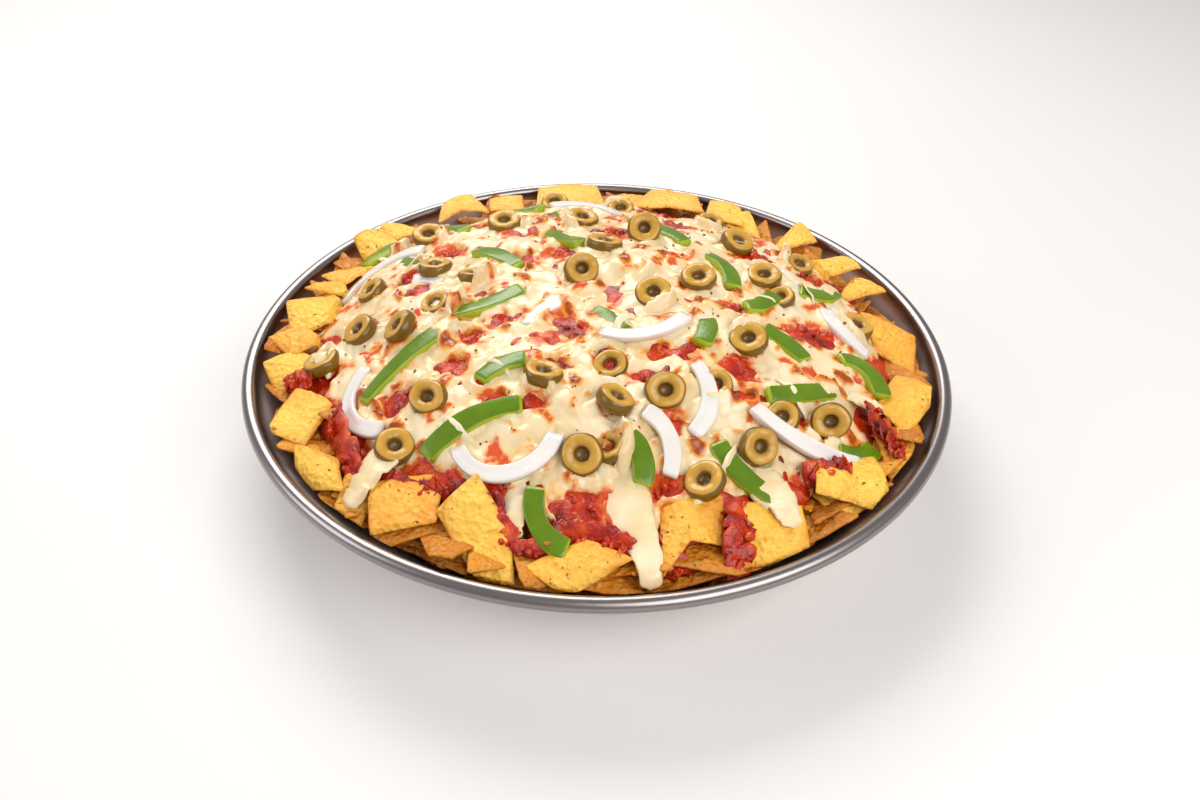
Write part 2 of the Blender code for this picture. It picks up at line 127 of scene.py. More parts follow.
# pepper strips: both ends, bend to the left of the run, lift
PEPPERS = (
    (-88, 84, -66, 66, 3, 0), (-46, 91, -30, 84, 1, 0), (-26, 49, -8, 31, -1, 0), (-56, 31, -36, 12, 1, 0),
    (-114, 54, -99, 65, 1, 2), (-62, -22, -33, -7, -2, 0), (-92, -58, -62, -30, 2, 0),
    (-45, -62, -28, -54, 2, 0), (43, -21, 41, -42, 2, 0), (14, 65, 39, 38, 1, 0), (45, 30, 57, 5, 5, 0),
    (62, -8, 76, 6, -3, 0), (90, 18, 108, 28, -4, 0), (68, -23, 84, -37, 1, 0), (66, -61, 94, -47, -1, 0),
    (101, -28, 118, -39, 5, 0), (93, -77, 109, -68, -2, 1), (45, -86, 67, -104, -3, 0),
    (11, -86, 17, -104, 3, 0), (-63, -90, -28, -75, 3, 0), (-21, -107, -9, -127, -5, 0),
    (-24, 78, -24, 68, 1, -2), (-93, 41, -82, 30, 1, -2), (-2, -21, 12, -34, 1, -2),
    (36, -61, 42, -58, 1, -2),
)
ONIONS = (
    (-118, 22, -84, 46, 11, 0), (-94, -40, -82, -76, -11, 0), (-51, -90, -15, -88, -13, 0),
    (1, -36, 36, -25, -8, 0), (38, -54, 36, -84, 6, 0), (18, -76, 27, -101, 5, 0),
    (60, -71, 102, -80, -6, 3), (101, 8, 116, -18, -4, 0), (-25, 87, 8, 72, 8, 0),
    (83, 34, 91, 12, 4, -2), (-30, -29, -16, -14, 3, -2), (-83, 14, -70, 6, 2, -2),
)
STRIP_BASE = 0.5             # underside of a topping over the crown

# chips that show: corners x, y, z from the outside in, how much they arch, and 1 where they
# stand clear of the salsa
CHIPS = (
    (((-35, 142, 45), (-3, 146, 45), (2, 108, 54), (-34, 104, 53)), 2, 0),
    (((28, 143, 44), (53, 136, 45), (54, 100, 53), (16, 106, 54)), 2, 0),
    (((6, 143, 40), (30, 140, 42), (22, 104, 52), (2, 108, 52)), 1, 0),
    (((80, 116, 47), (82, 84, 46), (58, 100, 50)), 2, 0),
    (((91, 90, 42), (104, 103, 48), (112, 88, 46), (88, 74, 46)), 2, 0),
    (((122, 71, 47), (129, 59, 47), (106, 48, 47), (98, 62, 48)), 2, 0),
    (((137, 39, 48), (126, 60, 41), (112, 30, 43)), 2, 0),
    (((146, 10, 42), (139, -17, 37), (118, -4, 46), (120, 20, 46)), 2, 0),
    (((146, -33, 43), (130, -20, 40), (116, -42, 42), (126, -60, 37)), 3, 0),
    (((132, -76, 38), (116, -86, 34), (112, -58, 43), (128, -56, 38)), 2, 0),
    (((110, -74, 41), (112, -102, 39), (82, -101, 45), (84, -80, 47)), 4, 1),
    (((116, -90, 34), (98, -116, 32), (82, -92, 38)), 2, 0),
    (((78, -130, 37), (76, -106, 44), (52, -108, 47), (49, -130, 36)), 2, 0),
    (((24, -137, 36), (34, -126, 44), (48, -124, 41), (46, -106, 47), (24, -108, 48)), 5, 1),
    (((-25, -134, 38), (-3, -125, 44), (14, -132, 41), (-9, -146, 37)), 2, 0),
    (((-43, -103, 54), (-57, -115, 46), (-40, -138, 34), (-27, -140, 32), (-30, -122, 44)), 2, 1),
    (((-80, -122, 40), (-57, -117, 43), (-56, -98, 48), (-84, -100, 46)), 2, 0),
    (((-98, -108, 36), (-86, -116, 34), (-80, -98, 43), (-94, -92, 42)), 2, 0),
    (((-114, -95, 38), (-118, -73, 37), (-100, -84, 45), (-93, -100, 38)), 7, 1),
    (((-132, -68, 43), (-126, -40, 41), (-108, -52, 45), (-115, -74, 38)), 2, 0),
    (((-144, -24, 42), (-132, -12, 42), (-116, -30, 46), (-136, -38, 36)), 2, 0),
    (((-146, -8, 44), (-132, 2, 44), (-118, -14, 47), (-134, -18, 42)), 2, 0),
    (((-145, 20, 46), (-128, 32, 43), (-112, 12, 48), (-138, 0, 38)), 2, 0),
    (((-140, 33, 44), (-124, 42, 44), (-116, 24, 46)), 2, 0),
    (((-136, 49, 43), (-126, 66, 34), (-106, 50, 48), (-120, 34, 46)), 2, 0),
    (((-126, 78, 48), (-114, 90, 46), (-98, 68, 48), (-118, 66, 40)), 2, 0),
    (((-114, 92, 47), (-102, 100, 42), (-88, 78, 50), (-108, 78, 45)), 2, 0),
    (((-86, 120, 45), (-71, 128, 46), (-58, 98, 54), (-84, 92, 51)), 3, 0),
    (((-62, 132, 42), (-44, 137, 43), (-40, 100, 52), (-58, 102, 51)), 1, 0),
    (((60, 132, 44), (76, 122, 46), (74, 92, 50), (54, 98, 52)), 2, 0),
)


# --------------------------------------------------------------- small helpers
def linear(colour):
    """Linear RGBA of an sRGB hex colour."""
    values = [int(colour[i:i + 2], 16) / 255 for i in (1, 3, 5)]
    return tuple(v / 12.92 if v <= 0.04045 else ((v + 0.055) / 1.055) ** 2.4 for v in values) + (1.0,)


def add(tree, kind, inputs=None, stops=None, **settings):
    """A node with its settings; inputs gives a value or a socket to link for each input."""
    node = tree.nodes.new(kind)
    for key, value in settings.items():
        setattr(node, key, value)
    for key, value in (inputs or {}).items():
        if isinstance(value, bpy.types.NodeSocket):
            tree.links.new(value, node.inputs[key])
        else:
            node.inputs[key].default_value = value
    for i, (place, colour) in enumerate(stops or ()):
        row = node.color_ramp.elements
        element = row[i] if i < len(row) else row.new(place)
        element.position = place
        element.color = colour
    return node


NOISE_CELLS = 64             # cells before a random field repeats


def gradient_noise(x, y, size, seed):
    """Smooth random field from about -1 to 1, with one lump per size."""
    turns = np.random.default_rng(seed).uniform(0, math.tau, (NOISE_CELLS, NOISE_CELLS))
    u, v = x / size, y / size
    i, j = np.floor(u).astype(int), np.floor(v).astype(int)
    f, g = u - i, v - j
    fade = [w ** 3 * (w * (6 * w - 15) + 10) for w in (f, g)]

    def corner(a, b):
        turn = turns[(i + a) % NOISE_CELLS, (j + b) % NOISE_CELLS]
        return np.cos(turn) * (f - a) + np.sin(turn) * (g - b)

    low = corner(0, 0) * (1 - fade[0]) + corner(1, 0) * fade[0]
    high = corner(0, 1) * (1 - fade[0]) + corner(1, 1) * fade[0]
    return 1.5 * (low * (1 - fade[1]) + high * fade[1])


def pebbles(x, y, size, seed):
    """Distance to the nearest of scattered centres, as a share of their spacing."""
    spots = np.random.default_rng(seed).uniform(0.1, 0.9, (NOISE_CELLS, NOISE_CELLS, 2))
    u, v = x / size, y / size
    i, j = np.floor(u).astype(int), np.floor(v).astype(int)
    near = np.full(np.shape(u), 9.0)
    for a in (-1, 0, 1):
        for b in (-1, 0, 1):
            spot = spots[(i + a) % NOISE_CELLS, (j + b) % NOISE_CELLS]
            near = np.minimum(near, np.hypot(i + a + spot[..., 0] - u, j + b + spot[..., 1] - v))
    return near


def ease(value, low, high):
    """0 at low, 1 at high, smooth between."""
    f = np.clip((value - low) / (high - low), 0, 1)
    return f * f * (3 - 2 * f)


def outline(table, bearing):
    """Smooth closed outline through the table's radii, bearing in radians."""
    radii = np.array(table, float)
    place = (bearing / math.tau) % 1.0 * len(radii)
    i = np.floor(place).astype(int)
    f = place - i
    before, here, after, beyond = (radii[(i + k) % len(radii)] for k in (-1, 0, 1, 2))
    return here + 0.5 * f * (after - before + f * (2 * before - 5 * here + 4 * after - beyond
                             + f * (3 * (here - after) + beyond - before)))


def crown(x, y):
    """Height of the finished heap over a point, all in mm."""
    a, b = WAVE_LENGTHS
    wave = np.sin(math.tau * (x + 0.4 * y) / a) + np.sin(math.tau * (y - 0.3 * x) / b)
    return CROWN_HEIGHT - CROWN_DROP * (np.hypot(x, y) / CROWN_REACH) ** CROWN_POWER + WAVE_HEIGHT * wave


def crown_normal(x, y, step=6.0):
    dx = (crown(x + step, y) - crown(x - step, y)) / (2 * step)
    dy = (crown(x, y + step) - crown(x, y - step)) / (2 * step)
    return Vector((-dx, -dy, 1.0)).normalized()


def new_piece(name, points, faces, material, attributes=None):
    """A mesh object from points in mm, with point attributes."""
    mesh = bpy.data.meshes.new(name)
    points = np.asarray(points, float) * MM
    mesh.from_pydata(points.tolist(), [], [list(map(int, face)) for face in faces])
    for key, values in (attributes or {}).items():
        row = np.ascontiguousarray(np.broadcast_to(np.asarray(values, np.float32), (len(points),)))
        mesh.attributes.new(key, "FLOAT", "POINT").data.foreach_set("value", row)
    mesh.materials.append(material)
    shell = bmesh.new()
    shell.from_mesh(mesh)
    bmesh.ops.recalc_face_normals(shell, faces=shell.faces)
    shell.to_mesh(mesh)
    shell.free()
    mesh.polygons.foreach_set("use_smooth", [True] * len(mesh.polygons))
    mesh.update()
    piece = bpy.data.objects.new(name, mesh)
    bpy.context.scene.collection.objects.link(piece)
    return piece


class Parts:
    """Collects many small closed shapes into one piece."""

    def __init__(self):
        self.points, self.faces, self.values, self.count = [], [], {}, 0

    def add(self, points, faces, **values):
        self.points.append(np.asarray(points, float))
        self.faces.extend([tuple(int(k) + self.count for k in face) for face in faces])
        for key, value in values.items():
            self.values.setdefault(key, []).append(np.broadcast_to(np.asarray(value, float), (len(points),)))
        self.count += len(points)

    def piece(self, name, material):
        values = {key: np.concatenate(rows) for key, rows in self.values.items()}
        return new_piece(name, np.concatenate(self.points), self.faces, material, values)


def tube_faces(rings, steps):
    """Faces of a tube of rings of points; its ends are single points after the last ring."""
    faces = []
    for i in range(rings - 1):
        for k in range(steps):
            a, b = i * steps + k, i * steps + (k + 1) % steps
            faces.append((a, b, b + steps, a + steps))
    first, last, base = rings * steps, rings * steps + 1, (rings - 1) * steps
    faces += [((k + 1) % steps, k, first) for k in range(steps)]
    faces += [(base + k, base + (k + 1) % steps, last) for k in range(steps)]
    return faces


def plan_grid(reach, step):
    """Points and triangles of a close grid over a disc, in plan."""
    high = step * math.sqrt(3) / 2
    rows, columns = int(reach / high) + 1, int(reach / step) + 1
    j, i = np.mgrid[-rows:rows + 1, -columns:columns + 1]
    x, y = (i + 0.5 * (j % 2)) * step, j * high
    number = np.arange(x.size).reshape(x.shape)
    a, b, c, d = number[:-1, :-1], number[:-1, 1:], number[1:, :-1], number[1:, 1:]
    even = (j[:-1, :-1] % 2) == 0
    first = np.where(even[..., None], np.stack([a, b, c], -1), np.stack([a, b, d], -1))
    second = np.where(even[..., None], np.stack([b, d, c], -1), np.stack([a, d, c], -1))
    return x.ravel(), y.ravel(), np.concatenate([first.reshape(-1, 3), second.reshape(-1, 3)])


def edge_runs(faces):
    """Directed edges that only one triangle has."""
    runs = np.concatenate([faces[:, (0, 1)], faces[:, (1, 2)], faces[:, (2, 0)]])
    known = {tuple(run) for run in runs.tolist()}
    return [run for run in known if (run[1], run[0]) not in known]


def layer_slab(faces, inside):
    """Triangles inside a region, and its edge, with no two parts that meet in one point."""
    faces = faces[inside[faces].all(1)]
    for _ in range(12):
        runs = edge_runs(faces)
        starts, counts = np.unique([run[0] for run in runs], return_counts=True)
        pinched = starts[counts > 1]
        if not len(pinched):
            break
        faces = faces[~np.isin(faces, pinched).any(1)]
    used, places = np.unique(faces, return_inverse=True)
    faces = places.reshape(-1, 3)
    return used, faces, edge_runs(faces)


def slab_piece(name, used, faces, runs, x, y, top, floor, material, attributes):
    """A closed layer between two heights over the same plan."""
    count = len(used)
    points = np.concatenate([np.stack([x[used], y[used], top[used]], 1),
                             np.stack([x[used], y[used], floor[used]], 1)])
    walls = [(a + count, b + count, b, a) for a, b in runs]
    all_faces = faces.tolist() + (faces[:, ::-1] + count).tolist() + walls
    doubled = {key: np.tile(values[used], 2) for key, values in attributes.items()}
    return new_piece(name, points, all_faces, material, doubled)


# ------------------------------------------------------ where the toppings lie
def strip_path(run, count):
    """Middle line of a bent strip in plan, with the direction across it."""
    x0, y0, x1, y1, bulge, _ = run
    start, end = np.array((x0, y0), float), np.array((x1, y1), float)
    chord = np.linalg.norm(end - start)
    along = (end - start) / chord
    left = np.array((-along[1], along[0]))
    radius = (chord * chord / 4 + bulge * bulge) / (2 * abs(bulge))
    half = math.atan2(chord / 2, radius - abs(bulge))
    side = math.copysign(1.0, bulge)
    centre = (start + end) / 2 - left * side * (radius - abs(bulge))
    turns = np.linspace(-half, half, count)[:, None]
    out = left * side * np.cos(turns) + along * np.sin(turns)
    return centre + out * radius, out * side


def nearest_on_path(x, y, path):
    """Distance from points to a path, and how far along it the nearest point is, 0 to 1."""
    best, along = np.full(x.shape, 1e9), np.zeros(x.shape)
    for k in range(len(path) - 1):
        a, b = path[k], path[k + 1]
        run = b - a
        t = np.clip(((x - a[0]) * run[0] + (y - a[1]) * run[1]) / (run @ run), 0, 1)
        gap = np.hypot(x - a[0] - t * run[0], y - a[1] - t * run[1])
        closer = gap < best
        best = np.where(closer, gap, best)
        along = np.where(closer, (k + t) / (len(path) - 1), along)
    return best, along


def bare_room(x, y):
    """Distance in mm from the nearest bare patch or the edge of the cheese; below 0 is bare."""
    room = outline(CHEESE_OUTLINE, np.arctan2(y, x)) - np.hypot(x, y) + 5 * gradient_noise(x, y, 11, SEED + 1)
    for px, py, long, wide, heading in BARE_PATCHES:
        turn = math.radians(heading)
        u = (x - px) * math.cos(turn) + (y - py) * math.sin(turn)
        v = (y - py) * math.cos(turn) - (x - px) * math.sin(turn)
        room = np.minimum(room, (np.hypot(u / long, v / wide) - 1) * min(long, wide))
    ragged = 2.4 * gradient_noise(x, y, 7, SEED + 2) + 1.4 * gradient_noise(x, y, 3.4, SEED + 3)
    return room + ragged


FAR = 99.0                   # mm, further than anything in the pan
PEPPER_ROOM = (4.0, 5.0)     # mm a strip takes to each side of its middle, and upwards
ONION_ROOM = (3.3, 2.8)
OLIVE_ROOM = (7.6, 5.8)
SALSA_DEPTH = 1.5            # mm of the salsa's middle height under the finished heap
CHEESE_DEPTH = 1.4           # mm of the cheese's edge under the finished heap
CHEESE_THICK = 2.2           # mm the cheese rises from its edge
FILM_END = 9.0               # mm that a film of cheese over a topping drops where it ends


def surface_fields(x, y):
    """Heights and marks of salsa and cheese over points in plan."""
    room = bare_room(x, y)
    near_strip, near_ring = np.full(x.shape, FAR), np.full(x.shape, FAR)
    covered = np.full(x.shape, -FAR)
    rows = [(run, *PEPPER_ROOM) for run in PEPPERS] + [(run, *ONION_ROOM) for run in ONIONS]
    for k, (run, half, thick) in enumerate(rows):
        reach = math.hypot(run[2] - run[0], run[3] - run[1]) + 20
        close = np.hypot(x - (run[0] + run[2]) / 2, y - (run[1] + run[3]) / 2) < reach
        gap, along = nearest_on_path(x[close], y[close], strip_path(run, 7)[0])
        near_strip[close] = np.minimum(near_strip[close], gap - half)
        share = (0.30, 0.02, 0.18, -0.1)[k % 4] + 0.06 * gradient_noise(x[close], y[close], 5, SEED + k)
        film = ease(share - abs(along - (k // 4) % 2), -0.10, 0.06) * ease(half + 3.5 - gap, 0.0, 3.5)
        film = film * ease(room[close], 1.0, 3.5)
        lift = STRIP_BASE + thick + run[5] - 0.9
        covered[close] = np.maximum(covered[close], lift * film - FILM_END * (1 - film))
    for k, (ox, oy, heading, lean) in enumerate(OLIVES + SUNK_OLIVES):
        away = np.hypot(x - ox, y - oy)
        near_ring = np.minimum(near_ring, away - OLIVE_ROOM[0])
        if lean < 32 and k % 4 != 1:
            turn, tip = 2.4 * k, math.radians(lean)
            side = ((x - ox) * math.cos(turn) + (y - oy) * math.sin(turn)) / 8
            side = side + 0.25 * gradient_noise(x, y, 4, SEED + k)
            down = (x - ox) * math.cos(math.radians(heading)) + (y - oy) * math.sin(math.radians(heading))
            film = ease(side, 0.30, 0.62) * ease(12 - away, 0.0, 4.0) * ease(room, 1.0, 3.5)
            lift = 8 * math.sin(tip) + OLIVE_ROOM[1] * math.cos(tip) - math.tan(tip) * down - 1.2
            covered = np.where(away < 13, np.maximum(covered, lift * film - FILM_END * (1 - film)), covered)
    near = np.minimum(near_strip, near_ring)
    base = crown(x, y)
    pulp = pebbles(x, y, 7.5, SEED + 4)
    salsa = (base - SALSA_DEPTH + 1.2 * np.clip(1 - (pulp / 0.62) ** 2, -0.6, 1)
             + 1.0 * gradient_noise(x, y, 5, SEED + 5) + 1.2 * gradient_noise(x, y, 13, SEED + 6))
    edge = np.clip(room / (5.5 + 3 * gradient_noise(x, y, 15, SEED + 17)), 0, 1)
    rounded = np.sqrt(np.clip(1 - (1 - edge) ** 2, 0, 1))
    calm = 0.35 + 0.65 * ease(near, -1, 9)
    lumps = (2.3 * gradient_noise(x, y, 25, SEED + 7) + 1.3 * gradient_noise(x, y, 12, SEED + 8)) * calm
    folds = np.abs(gradient_noise(x + 4 * gradient_noise(x, y, 14, SEED + 9), y, 9, SEED + 10))
    lumps += 1.0 * np.clip(folds, 0, 0.35) / 0.35 - 0.8 + 0.2 * gradient_noise(x, y, 4.5, SEED + 11)
    for dx, dy, radius, height in CHEESE_DOMES:
        lumps = lumps + height * np.exp(-(np.hypot(x - dx, y - dy) / radius) ** 4) * calm
    meniscus = 1.4 * np.exp(-np.clip(near, 0, 9) / 2.0) - 2.0 * ease(-near, 0.5, 2.5)
    cheese = base - CHEESE_DEPTH + rounded * (CHEESE_THICK + lumps + meniscus) + np.minimum(room, 0) * 2.0
    top = np.maximum(cheese, base + covered)
    hidden = covered > -3
    room = np.where(hidden, np.maximum(room, 1.5), room)
    toast = np.zeros(x.shape)
    for tx, ty, radius in TOASTED:
        spot = np.hypot(x - tx, y - ty) / radius + 0.45 * gradient_noise(x, y, 4, SEED + 12)
        toast = np.maximum(toast, ease(1.25 - spot, 0, 0.9))
    scorch = gradient_noise(x, y, 7, SEED + 13) + 0.4 * gradient_noise(x, y, 19, SEED + 14)
    toast = np.maximum(toast, 0.9 * ease(scorch, 0.42, 0.78))
    top = top + 1.0 * toast
    film = np.where(hidden, 0.25, 1 - ease(room, 0.4, 7.0))
    streak = gradient_noise(x, y, 17, SEED + 15) + 0.7 * gradient_noise(x, y, 6, SEED + 16) + 0.25 * (y / 130)
    film = np.maximum(film, ease(streak, 0.12, 0.6))
    # The last mark is 1 in the creases between the folds, where the cheese material paints shade.
    return room, salsa, top, {"toast": toast, "film": film, "hollow": 1 - np.clip(folds / 0.3, 0, 1)}
# ------------------------------------------------------------------- materials
LUMP_SHARE = 1.6             # a noise pattern's lumps are this much smaller than its cells


def new_material(name, grains=(), marks=()):
    """An empty material, its shader and coordinates, its noise patterns and its point marks.

    Each grain is the size of its lumps in mm, its detail and its roughness.
    """
    known = bpy.data.materials.get(name)
    if known:
        bpy.data.materials.remove(known)
    mat = bpy.data.materials.new(name)
    mat.use_nodes = True
    tree = mat.node_tree
    tree.nodes.clear()
    shader = add(tree, "ShaderNodeBsdfPrincipled")
    add(tree, "ShaderNodeOutputMaterial", {"Surface": shader.outputs["BSDF"]})
    place = add(tree, "ShaderNodeTexCoord").outputs["Object"]
    patterns = [add(tree, "ShaderNodeTexNoise",
                    {"Vector": place, "Scale": 1 / (size * LUMP_SHARE * MM), "Detail": detail,
                     "Roughness": roughness}).outputs["Fac"] for size, detail, roughness in grains]
    named = [add(tree, "ShaderNodeAttribute", attribute_name=mark).outputs["Fac"] for mark in marks]
    return mat, tree, shader, place, patterns, named


def coat(tree, body, colour, strength, *masks):
    """The body colour with another over it where every mask is high.

    A mask is a socket, with the values where it starts and is full if it is to be stretched.
    """
    cover = strength
    for source, *ends in masks:
        if ends:
            source = add(tree, "ShaderNodeMapRange",
                         {"Value": source, "From Min": ends[0], "From Max": ends[1]},
                         interpolation_type="SMOOTHSTEP").outputs["Result"]
        cover = add(tree, "ShaderNodeMath", {0: source, 1: cover}, operation="MULTIPLY",
                    use_clamp=True).outputs["Value"]
    return add(tree, "ShaderNodeMix", {0: cover, 6: body, 7: colour}, data_type="RGBA").outputs[2]


def finish(tree, shader, body, relief=None, **values):
    """Gives a shader its colour, its constants and its relief: height, depth in mm, strength."""
    tree.links.new(body, shader.inputs["Base Color"])
    if relief:
        height, depth, strength = relief
        bump = add(tree, "ShaderNodeBump", {"Height": height, "Distance": depth * MM, "Strength": strength})
        tree.links.new(bump.outputs["Normal"], shader.inputs["Normal"])
    for key, value in values.items():
        shader.inputs[key.replace("_", " ")].default_value = value


def steel_material():
    # Stainless steel, spun and polished: satin wall, brighter rim from its polish, fine turning marks. The
    # wall's pale steel colour is painted light that brightens its reflections, and the rim's darker steel
    # colour is painted shade that dulls its reflection.
    tint = bpy.context.scene.nacho_colours
    mat, tree, shader, place, (rub, turning), _ = new_material(
        "stainless_steel_spun", ((30, 2, 0.55), (1.2, 2, 0.55)))
    height = add(tree, "ShaderNodeSeparateXYZ", {"Vector": place}).outputs["Z"]
    # Painted light and shade: the wall's pale steel colour brightens its reflections, and above 36 mm the rim's
    # darker steel colour dulls its reflection. The rub noise varies the wall at random.
    body = coat(tree, tint.steel_wall_painted_light, linear("#e6dfdc"), 1.0, (rub,))
    body = coat(tree, body, tint.steel_rim_painted_shade, 1.0, (height, 0.036, 0.040))
    polish = add(tree, "ShaderNodeMapRange", {"Value": height, "From Min": 0.035, "From Max": 0.039,
                                              "To Min": 0.6, "To Max": 0.3})
    tree.links.new(polish.outputs["Result"], shader.inputs["Roughness"])
    finish(tree, shader, body, (turning, 0.02, 0.4), Metallic=1.0)
    return mat


def tortilla_material(name, light, middle, deep, roughness):
    # Fried maize tortilla: dry golden crust, blistered, with black grain specks and toasted tips.
    mat, tree, shader, place, patterns, (shade, rim, blister) = new_material(
        name, ((14, 4, 0.6), (1.8, 4, 0.65), (9, 3, 0.55), (3, 3, 0.55), (1.2, 1, 0.55)),
        ("shade", "rim", "blister"))
    broad, grain, edge, bubble, speck = patterns
    tone = add(tree, "ShaderNodeMath", {0: broad, 1: shade}, operation="ADD").outputs["Value"]
    tone = add(tree, "ShaderNodeMath", {0: tone, 1: 0.62}, operation="MULTIPLY",
               use_clamp=True).outputs["Value"]
    body = add(tree, "ShaderNodeValToRGB", {"Fac": tone}, ((0.22, deep), (0.45, middle), (0.72, light)))
    body = coat(tree, body.outputs["Color"], linear("#ffe28c"), 0.4, (grain, 0.5, 0.8))
    body = coat(tree, body, linear("#d07410"), 0.7, (rim,), (edge, 0.35, 0.75))
    body = coat(tree, body, linear("#df9018"), 0.45, (blister,), (bubble, 0.35, 0.7))
    body = coat(tree, body, linear("#3c2408"), 0.9, (speck, 0.68, 0.73), (broad, 0.46, 0.56))
    crackle = add(tree, "ShaderNodeTexVoronoi", {"Vector": place, "Scale": 1 / (2.4 * MM), "Randomness": 1.0},
                  feature="F1").outputs["Distance"]
    coarse = add(tree, "ShaderNodeMath", {0: crackle, 1: grain}, operation="ADD").outputs["Value"]
    finish(tree, shader, body, (coarse, 1.1, 1.0), Roughness=roughness, Subsurface_Weight=0.12,
           Subsurface_Scale=0.002)
    return mat


def salsa_material():
    # Chopped cooked tomato in its juice: deep red, wet, orange where oil and cheese run into it.
    tint = bpy.context.scene.nacho_colours
    mat, tree, shader, _, (pulp, seed, pitted), _ = new_material(
        "tomato_salsa", ((6, 4, 0.6), (1.6, 1, 0.55), (2.0, 5, 0.6)))
    # The darkest stop is partly the tomato's own deep red and partly painted shade for its hollows, laid by
    # noise.
    body = add(tree, "ShaderNodeValToRGB", {"Fac": pulp},
               ((0.30, tint.salsa_deep), (0.46, linear("#aa1c03")), (0.60, tint.salsa),
                (0.76, linear("#e4741e"))))
    body = coat(tree, body.outputs["Color"], linear("#e8a060"), 0.4, (seed, 0.66, 0.74))
    finish(tree, shader, body, (pitted, 0.9, 1.0), Roughness=0.17,
           Subsurface_Weight=0.05, Subsurface_Scale=0.0015)
    return mat


def cheese_material():
    # Melted mozzarella: ivory, soft and glossy; salsa tints it orange where it is thin, and high
    # spots toast brown. Its creases are darkened with painted shade.
    tint = bpy.context.scene.nacho_colours
    mat, tree, shader, _, (cloud, streak, mottle, lump), (toast, film, hollow) = new_material(
        "melted_mozzarella", ((15, 3, 0.55), (6, 4, 0.55), (3, 4, 0.65), (6, 3, 0.5)),
        ("toast", "film", "hollow"))
    body = coat(tree, tint.cheese_deep, tint.cheese, 1.0, (cloud, 0.35, 0.65))
    # Painted shade: a deeper yellow laid in the creases between the folds.
    body = coat(tree, body, linear("#e2bd80"), 0.35, (hollow,))
    soaked = add(tree, "ShaderNodeMapRange", {"Value": streak, "From Min": 0.32, "From Max": 0.68},
                 interpolation_type="SMOOTHSTEP").outputs["Result"]
    soaked = add(tree, "ShaderNodeMath", {0: film, 1: soaked}, operation="MULTIPLY",
               use_clamp=True).outputs["Value"]
    body = coat(tree, body, linear("#f0b468"), 0.75, (soaked, 0.05, 0.45))
    body = coat(tree, body, linear("#d24a10"), 0.95, (soaked, 0.32, 0.75))
    uneven = add(tree, "ShaderNodeMapRange",
                 {"Value": mottle, "To Min": 0.55, "To Max": 1.6}).outputs["Result"]
    baked = add(tree, "ShaderNodeMath", {0: toast, 1: uneven}, operation="MULTIPLY",
               use_clamp=True).outputs["Value"]
    body = coat(tree, body, linear("#e39a30"), 0.85, (baked, 0.05, 0.4))
    body = coat(tree, body, tint.toasted, 0.9, (baked, 0.4, 0.85))
    body = coat(tree, body, linear("#7a2c06"), 0.6, (baked, 0.85, 1.0))
    uneven = add(tree, "ShaderNodeMath", {0: lump, 1: mottle}, operation="ADD",
               use_clamp=True).outputs["Value"]
    finish(tree, shader, body, (uneven, 0.7, 0.4), Roughness=0.24,
           Subsurface_Weight=0.18, Subsurface_Scale=0.003)
    return mat


def olive_material():
    # Green table olive, cut across: waxy golden flesh, brown-olive skin, and painted shade that darkens it
    # towards and inside the stone's hole.
    tint = bpy.context.scene.nacho_colours
    mat, tree, shader, _, (mealy, waxy, fine), (cut, hole) = new_material(
        "green_olive_flesh", ((5, 4, 0.55), (6, 3, 0.55), (2.5, 3, 0.55)), ("cut", "hole"))
    flesh = coat(tree, linear("#b08022"), tint.olive_flesh, 1.0, (mealy,))
    skin = coat(tree, linear("#5c3f06"), tint.olive_skin, 1.0, (waxy,))
    body = coat(tree, skin, flesh, 1.0, (cut, 0.25, 0.7))
    # Painted shade: dark brown laid inside and round the stone's hole.
    body = coat(tree, body, linear("#4a2c0c"), 0.8, (hole,))
    finish(tree, shader, body, (fine, 0.25, 0.5), Roughness=0.28,
           Subsurface_Weight=0.15, Subsurface_Scale=0.003)
    return mat


def pepper_material():
    # Sweet green pepper, cooked: waxy dark green skin, wet yellow-green flesh on the cut sides.
    tint = bpy.context.scene.nacho_colours
    mat, tree, shader, _, (waxy, wet, fine), (cut,) = new_material(
        "green_pepper_skin", ((7, 4, 0.55), (4, 4, 0.55), (3, 3, 0.55)), ("cut",))
    skin = coat(tree, linear("#456400"), tint.pepper_skin, 1.0, (waxy,))
    flesh = coat(tree, linear("#86a406"), tint.pepper_flesh, 1.0, (wet,))
    body = coat(tree, skin, flesh, 1.0, (cut, 0.3, 0.75))
    finish(tree, shader, body, (fine, 0.4, 0.6), Roughness=0.27,
           Subsurface_Weight=0.12, Subsurface_Scale=0.003)
    return mat


def onion_material():
    # White onion, baked soft: milky and pearly, faintly mauve along its edges.
    tint = bpy.context.scene.nacho_colours
    mat, tree, shader, _, (pearl, ribbed), (cut,) = new_material(
        "white_onion_baked", ((6, 3, 0.55), (4, 2, 0.55)), ("cut",))
    body = coat(tree, linear("#ddd7d0"), tint.onion, 1.0, (pearl,))
    body = coat(tree, body, linear("#dccdc6"), 0.6, (cut,))
    finish(tree, shader, body, (ribbed, 0.25, 0.5), Roughness=0.2,
           Subsurface_Weight=0.35, Subsurface_Scale=0.004)
    return mat


def fleck_material(name, dark, pale, grains, depth, strength):
    """A dry fleck: two colours in grains, and relief of a depth in mm; grains as new_material has them."""
    mat, tree, shader, _, (grain, fine), _ = new_material(name, grains)
    finish(tree, shader, coat(tree, dark, pale, 1.0, (grain,)), (fine, depth, strength), Roughness=0.6)
    return mat


